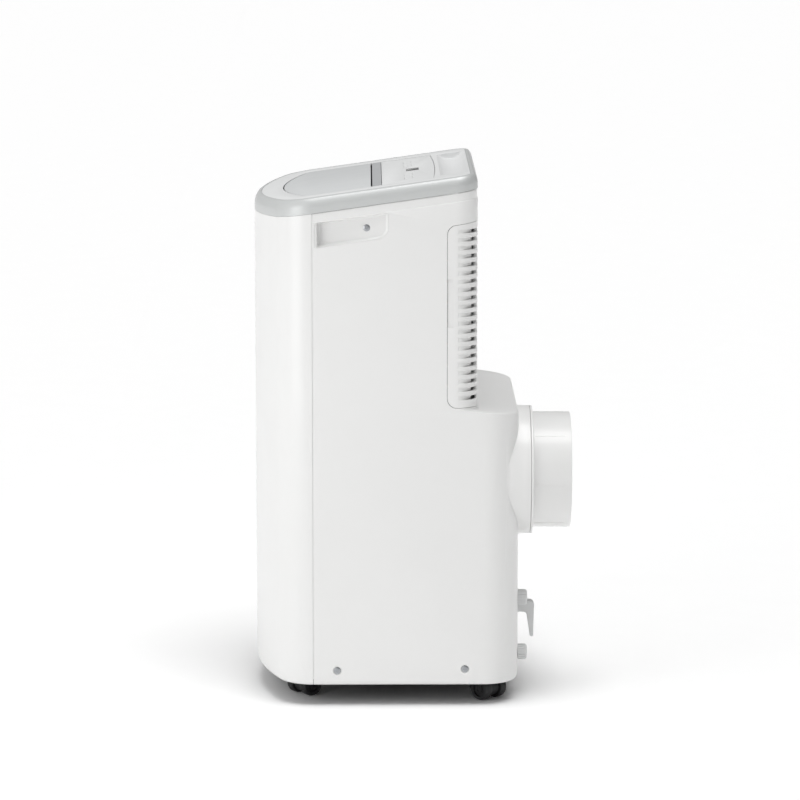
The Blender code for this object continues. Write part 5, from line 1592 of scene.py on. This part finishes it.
@dataclass
class RearFittings(Assembly):
    """The two drain caps, the cord hook and the cord bush."""

    cap_radius: float = 0.0105
    cap_length: float = 0.0120
    cap_ribs: int = 18
    hook_reach: float = 0.0235
    hook_top: float = 0.1130
    hook_low: float = 0.0985
    hook_tip: float = 0.0660
    hook_sides: Point2 = (0.053, 0.067)

    @property
    def face(self) -> float:
        """Where a piece that lies on the lower back starts."""
        return self.env.lower_rear_y + GAP

    def cap(self, word: str, z: float) -> None:
        """Builds one drain cap with a ribbed rim that a rule repeats.

        Args:
            word: upper or lower.
            z: Its height.
        """
        root, length, bore = self.cap_radius - 0.0013, self.cap_length, 0.0076
        profile = [
            (bore, 0.0), (root, 0.0), (root, 0.0006), (root, length - 0.0016), (root - 0.0005, length - 0.0005),
            (root - 0.0016, length), (0.0062, length), (0.0058, length - 0.0006), (0.0, length - 0.0006),
            (0.0, length - 0.0030), (bore, length - 0.0030), (bore, 0.0),
        ]
        body = spun("cap", profile, Matrix.Identity(4), 72)
        size, middle = (0.0014, 0.0024, length - 0.0024), (length - 0.0012) / 2
        made = ribbed("cap", body, self.cap_ribs, root + 0.0001, size, middle, SATIN_ABS)
        made.data.transform(along("Y", self.env.drain_x, self.env.lower_rear_y + 3 * GAP, z))
        self.shop.fit(made, f"drain_screw_cap_{word}", f"cap_{word}", SATIN_ABS, f"drain_cap_{word}")

    def hook(self) -> None:
        """Builds the cord hook, with rounded edges."""
        face, top, low, tip = self.face, self.hook_top, self.hook_low, self.hook_tip
        end = face + self.hook_reach
        inner = end - 0.0095
        outline = [
            (face, low - 0.004), (face + 0.0012, low - 0.0012), (face + 0.004, low), (inner - 0.004, low),
            (inner - 0.0012, low - 0.0012), (inner, low - 0.004), (inner + 0.0040, tip + 0.0015), (inner + 0.0052, tip),
            (end - 0.0022, tip), (end - 0.0010, tip + 0.0015), *ring((end - 0.006, top - 0.006), 0.006, 0.0, pi / 2, 8),
            (face + 0.004, top), (face + 0.0012, top + 0.0012), (face, top + 0.004),
        ]
        made = softened(prism("hook", outline, *self.hook_sides, UP_FROM_AXIS), 0.0012, 3)
        self.shop.fit(made, "cord_winding_hook", "cabinet", SATIN_ABS, "cord_hook")

    def bush(self) -> None:
        """Builds the bush that the mains lead would leave through."""
        profile = [
            (0.0035, -0.010), (0.0035, 0.0052), (0.0041, 0.0060), (0.0060, 0.0060), (0.0068, 0.0054), (0.0086, 0.0022),
            (0.0090, 0.0014), (0.0090, 0.0), (0.0054, 0.0), (0.0054, -0.010), (0.0035, -0.010),
        ]
        made = spun("bush", profile, along("Y", self.env.bush_x, self.face, self.env.bush_z), 64)
        self.shop.fit(made, "cord_bush", "cabinet", BLACK_PP, "cord_gland")

    def build(self) -> None:
        """Builds the fittings."""
        self.cap("upper", self.env.upper_drain_z)
        self.cap("lower", self.env.lower_drain_z)
        self.hook()
        self.bush()


@dataclass
class Caster(Assembly):
    """One twin-wheel caster: a hooded yoke on its stem, and the wheel pair."""

    corner: str
    x: float
    y: float
    heading: float
    wheel_radius: float = 0.015
    wheel_width: float = 0.011
    spacing: float = 0.026
    trail: float = 0.009
    plate_z: float = 0.0312

    @property
    def place(self) -> Matrix:
        """Where the caster stands, turned to its heading."""
        return Matrix.Translation((self.x, self.y, 0)) @ Matrix.Rotation(radians(self.heading), 4, "Z")

    def yoke(self) -> None:
        """Builds the yoke: swivel plate, stem, web between the wheels and the hood over them."""
        web = self.spacing - self.wheel_width - 0.0016
        radius, trail = self.wheel_radius, self.trail
        plate = [(0, 0), (0.0122, 0), (0.0128, 0.0006), (0.0128, 0.0026), (0.0122, 0.0032), (0, 0.0032)]
        stem = [(0, 0), (0.0045, 0), (0.0045, 0.0130), (0.0038, 0.0140), (0, 0.0140)]
        disc = [(0, 0), (0.0112, 0), (0.0118, 0.0006), (0.0118, web - 0.0006), (0.0112, web), (0, web)]
        neck = block("neck", (-web / 2, trail - 0.009, radius), (web / 2, trail + 0.006, self.plate_z + 0.0008))
        whole = joined(
            "yoke",
            spun("plate", plate, along("Z", 0, 0, self.plate_z), 48),
            spun("stem", stem, along("Z", 0, 0, 0.033), 24),
            spun("disc", disc, along("X", -web / 2, trail, radius), 48),
            softened(neck, 0.001),
            self.hood(),
        )
        whole.data.transform(self.place)
        name = f"caster_{self.corner}"
        self.shop.fit(whole, f"{name}_yoke", name, BLACK_PP, name)

    def hood(self) -> Piece:
        """Makes the thin hood that arches over both wheels.

        Returns:
            The hood.
        """
        outer, inner = (
            ring((0, 0), self.wheel_radius + gap, radians(-8), radians(150), 20) for gap in (0.0011, 0.0004)
        )
        half = (self.spacing + self.wheel_width) / 2 - 0.0004
        place = Matrix.Translation((0, self.trail, self.wheel_radius)) @ UP_FROM_AXIS
        return softened(prism("hood", [(-y, z) for y, z in outer + inner[::-1]], -half, half, place), 0.0003, 1)

    def wheels(self) -> None:
        """Builds the wheel pair on its axle, with hub rings and a slightly crowned tread."""
        inner, outer = (self.spacing - self.wheel_width) / 2, (self.spacing + self.wheel_width) / 2
        rim = self.wheel_radius
        hub = [
            (0.0, 0.0010), (0.0018, 0.0010), (0.0022, 0.0014), (0.0032, 0.0014), (0.0036, 0.0004), (0.0052, 0.0004),
            (0.0056, 0.0026), (0.0098, 0.0028), (0.0104, 0.0004), (0.0130, 0.0001), (0.0142, 0.0009),
            (rim - 0.0001, 0.0022),
        ]
        profile = [(radius, outer - sunk) for radius, sunk in hub]
        profile += [(rim, (inner + outer) / 2), (rim - 0.0001, inner + 0.0012), (0.0142, inner), (0.0020, inner)]
        profile += [(radius, -height) for radius, height in reversed(profile)]
        made = spun("wheels", profile, self.place @ along("X", 0, self.trail, rim), 64)
        name = f"wheels_{self.corner}"
        self.shop.fit(made, f"{name}_pair", name, WHEEL_PU, name)

    def build(self) -> None:
        """Builds the caster."""
        self.yoke()
        self.wheels()


@dataclass
class Insides(Assembly):
    """The pieces behind the casing, kept from the frame in their real finishes."""

    def build(self) -> None:
        """Dresses the kept nodes."""
        keep = self.shop.keep
        keep(BLACK_PP, "base_pan")
        keep(DUCT_PP, "vane_1", "vane_2", "vane_3", "vane_4", "vane_link", "mid_deck")
        keep(DUCT_PP, "evaporator_scroll", "condenser_scroll", "evaporator_fan", "condenser_fan")
        keep(SATIN_ABS, "splash_wheel")
        # The fins take stripes of painted shade in the gaps between them.
        keep(FIN_STRIPES_PAINTED_GAP_SHADE, "evaporator_fins", "condenser_fins")
        keep(COPPER_TUBE, "evaporator_tube", "condenser_tube", "suction_line")
        keep(STOVED_ENAMEL, "compressor")
        keep(BOARD_LAMINATE, "control_board")
        keep(GALVANISED, "flap_motor", "evaporator_fan_motor", "condenser_fan_motor", "splash_motor", "electrical_box")


# ------------------------------------------------------------------ studio
@dataclass
class Studio(Assembly):
    """The pale floor, the soft lights and the camera."""

    target: Point3 = (0.0, -0.016, 0.3652)
    distance: float = 5.2
    azimuth: float = 89.5
    elevation: float = 9.4
    lens: float = 180.2
    sky_level: float = 0.43
    sky_fall: float = 0.30
    top_light: float = 0.60
    key_spot: Point3 = (0.82, -0.84, 0.60)
    key_aim: Point3 = (0.10, -0.10, 0.36)
    key_size: Point2 = (0.55, 0.80)
    key_watts: float = 0.95
    key_spread: float = 95.0
    floor_reach: float = 30.0

    def camera(self) -> None:
        """Sets the camera well back from the right side, a little above the middle."""
        turn, rise = radians(self.azimuth), radians(self.elevation)
        back = Vector((sin(turn) * cos(rise), -cos(turn) * cos(rise), sin(rise)))
        lens = bpy.data.cameras.new("camera")
        lens.lens = self.lens
        lens.sensor_width = 36
        lens.clip_end = 60
        made = linked("camera", lens)
        made.location = Vector(self.target) + Vector((0, self.shop.shift, 0)) + back * self.distance
        made.rotation_euler = back.to_track_quat("Z", "Y").to_euler()
        bpy.context.scene.camera = made

    def key_light(self) -> None:
        """Stands a soft box in front of the right side."""
        data = bpy.data.lights.new("key_soft_box", "AREA")
        data.shape = "RECTANGLE"
        data.size, data.size_y = self.key_size
        data.energy = self.key_watts
        data.spread = radians(self.key_spread)
        made = linked("key_soft_box", data)
        made.location = self.key_spot
        made.rotation_euler = (Vector(self.key_spot) - Vector(self.key_aim)).to_track_quat("Z", "Y").to_euler()
        made.visible_camera = False

    def overhead(self) -> None:
        """Hangs a wide, even light almost straight overhead."""
        data = bpy.data.lights.new("overhead", "SUN")
        data.energy = self.top_light * pi
        data.angle = radians(40)
        linked("overhead", data).rotation_euler = (radians(-8), radians(10), 0)

    def sky(self) -> None:
        """Makes a surround that is white to the eye and lights the front more than the back."""
        world = bpy.data.worlds.new("studio")
        bpy.context.scene.world = world
        world.use_nodes = True
        tree = world.node_tree
        node = partial(add_node, tree)
        split = node("ShaderNodeSeparateXYZ", {"Vector": node("ShaderNodeTexCoord").outputs["Generated"]})
        level = {0: split.outputs["Y"], 1: -self.sky_fall, 2: self.sky_level}
        eye = node("ShaderNodeLightPath").outputs["Is Camera Ray"]
        fall = node("ShaderNodeMath", level, operation="MULTIPLY_ADD")
        seen = node("ShaderNodeMath", {0: fall, 1: eye}, operation="MAXIMUM")
        fill(tree, tree.nodes["Background"], {"Color": linear("FFFFFF"), "Strength": seen})

    def floor(self) -> None:
        """Lays a wide white floor."""
        far = self.floor_reach
        corners = [(-far, -far, 0), (far, -far, 0), (far, far, 0), (-far, far, 0)]
        made = from_lists("floor", corners, faces=[(0, 1, 2, 3)])
        made.data.materials.append(FLOOR_PAINT.build())

    def build(self) -> None:
        """Builds the studio."""
        bpy.context.scene.view_settings.view_transform = "Standard"
        self.camera()
        self.floor()
        self.sky()
        self.key_light()
        self.overhead()


def main() -> None:
    """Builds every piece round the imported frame."""
    logging.basicConfig(level=logging.INFO, format="%(name)s %(message)s")
    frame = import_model()
    shop = Workshop(frame, Envelope())
    casing = Casing(shop)
    casters = [
        Caster(shop, "rear_right", 0.125, 0.090, -46.0),
        Caster(shop, "rear_left", -0.125, 0.090, 30.0),
        Caster(shop, "front_right", 0.098, -0.133, 220.0),
        Caster(shop, "front_left", -0.098, -0.133, -25.0),
    ]
    fittings = [Crown(shop), InletGrille(shop, casing), Exhaust(shop), RearFittings(shop)]
    for assembly in (Studio(shop), casing, *fittings, *casters, Insides(shop)):
        assembly.build()
    log.info("%d pieces made", shop.count)


if __name__ == "__main__":
    main()
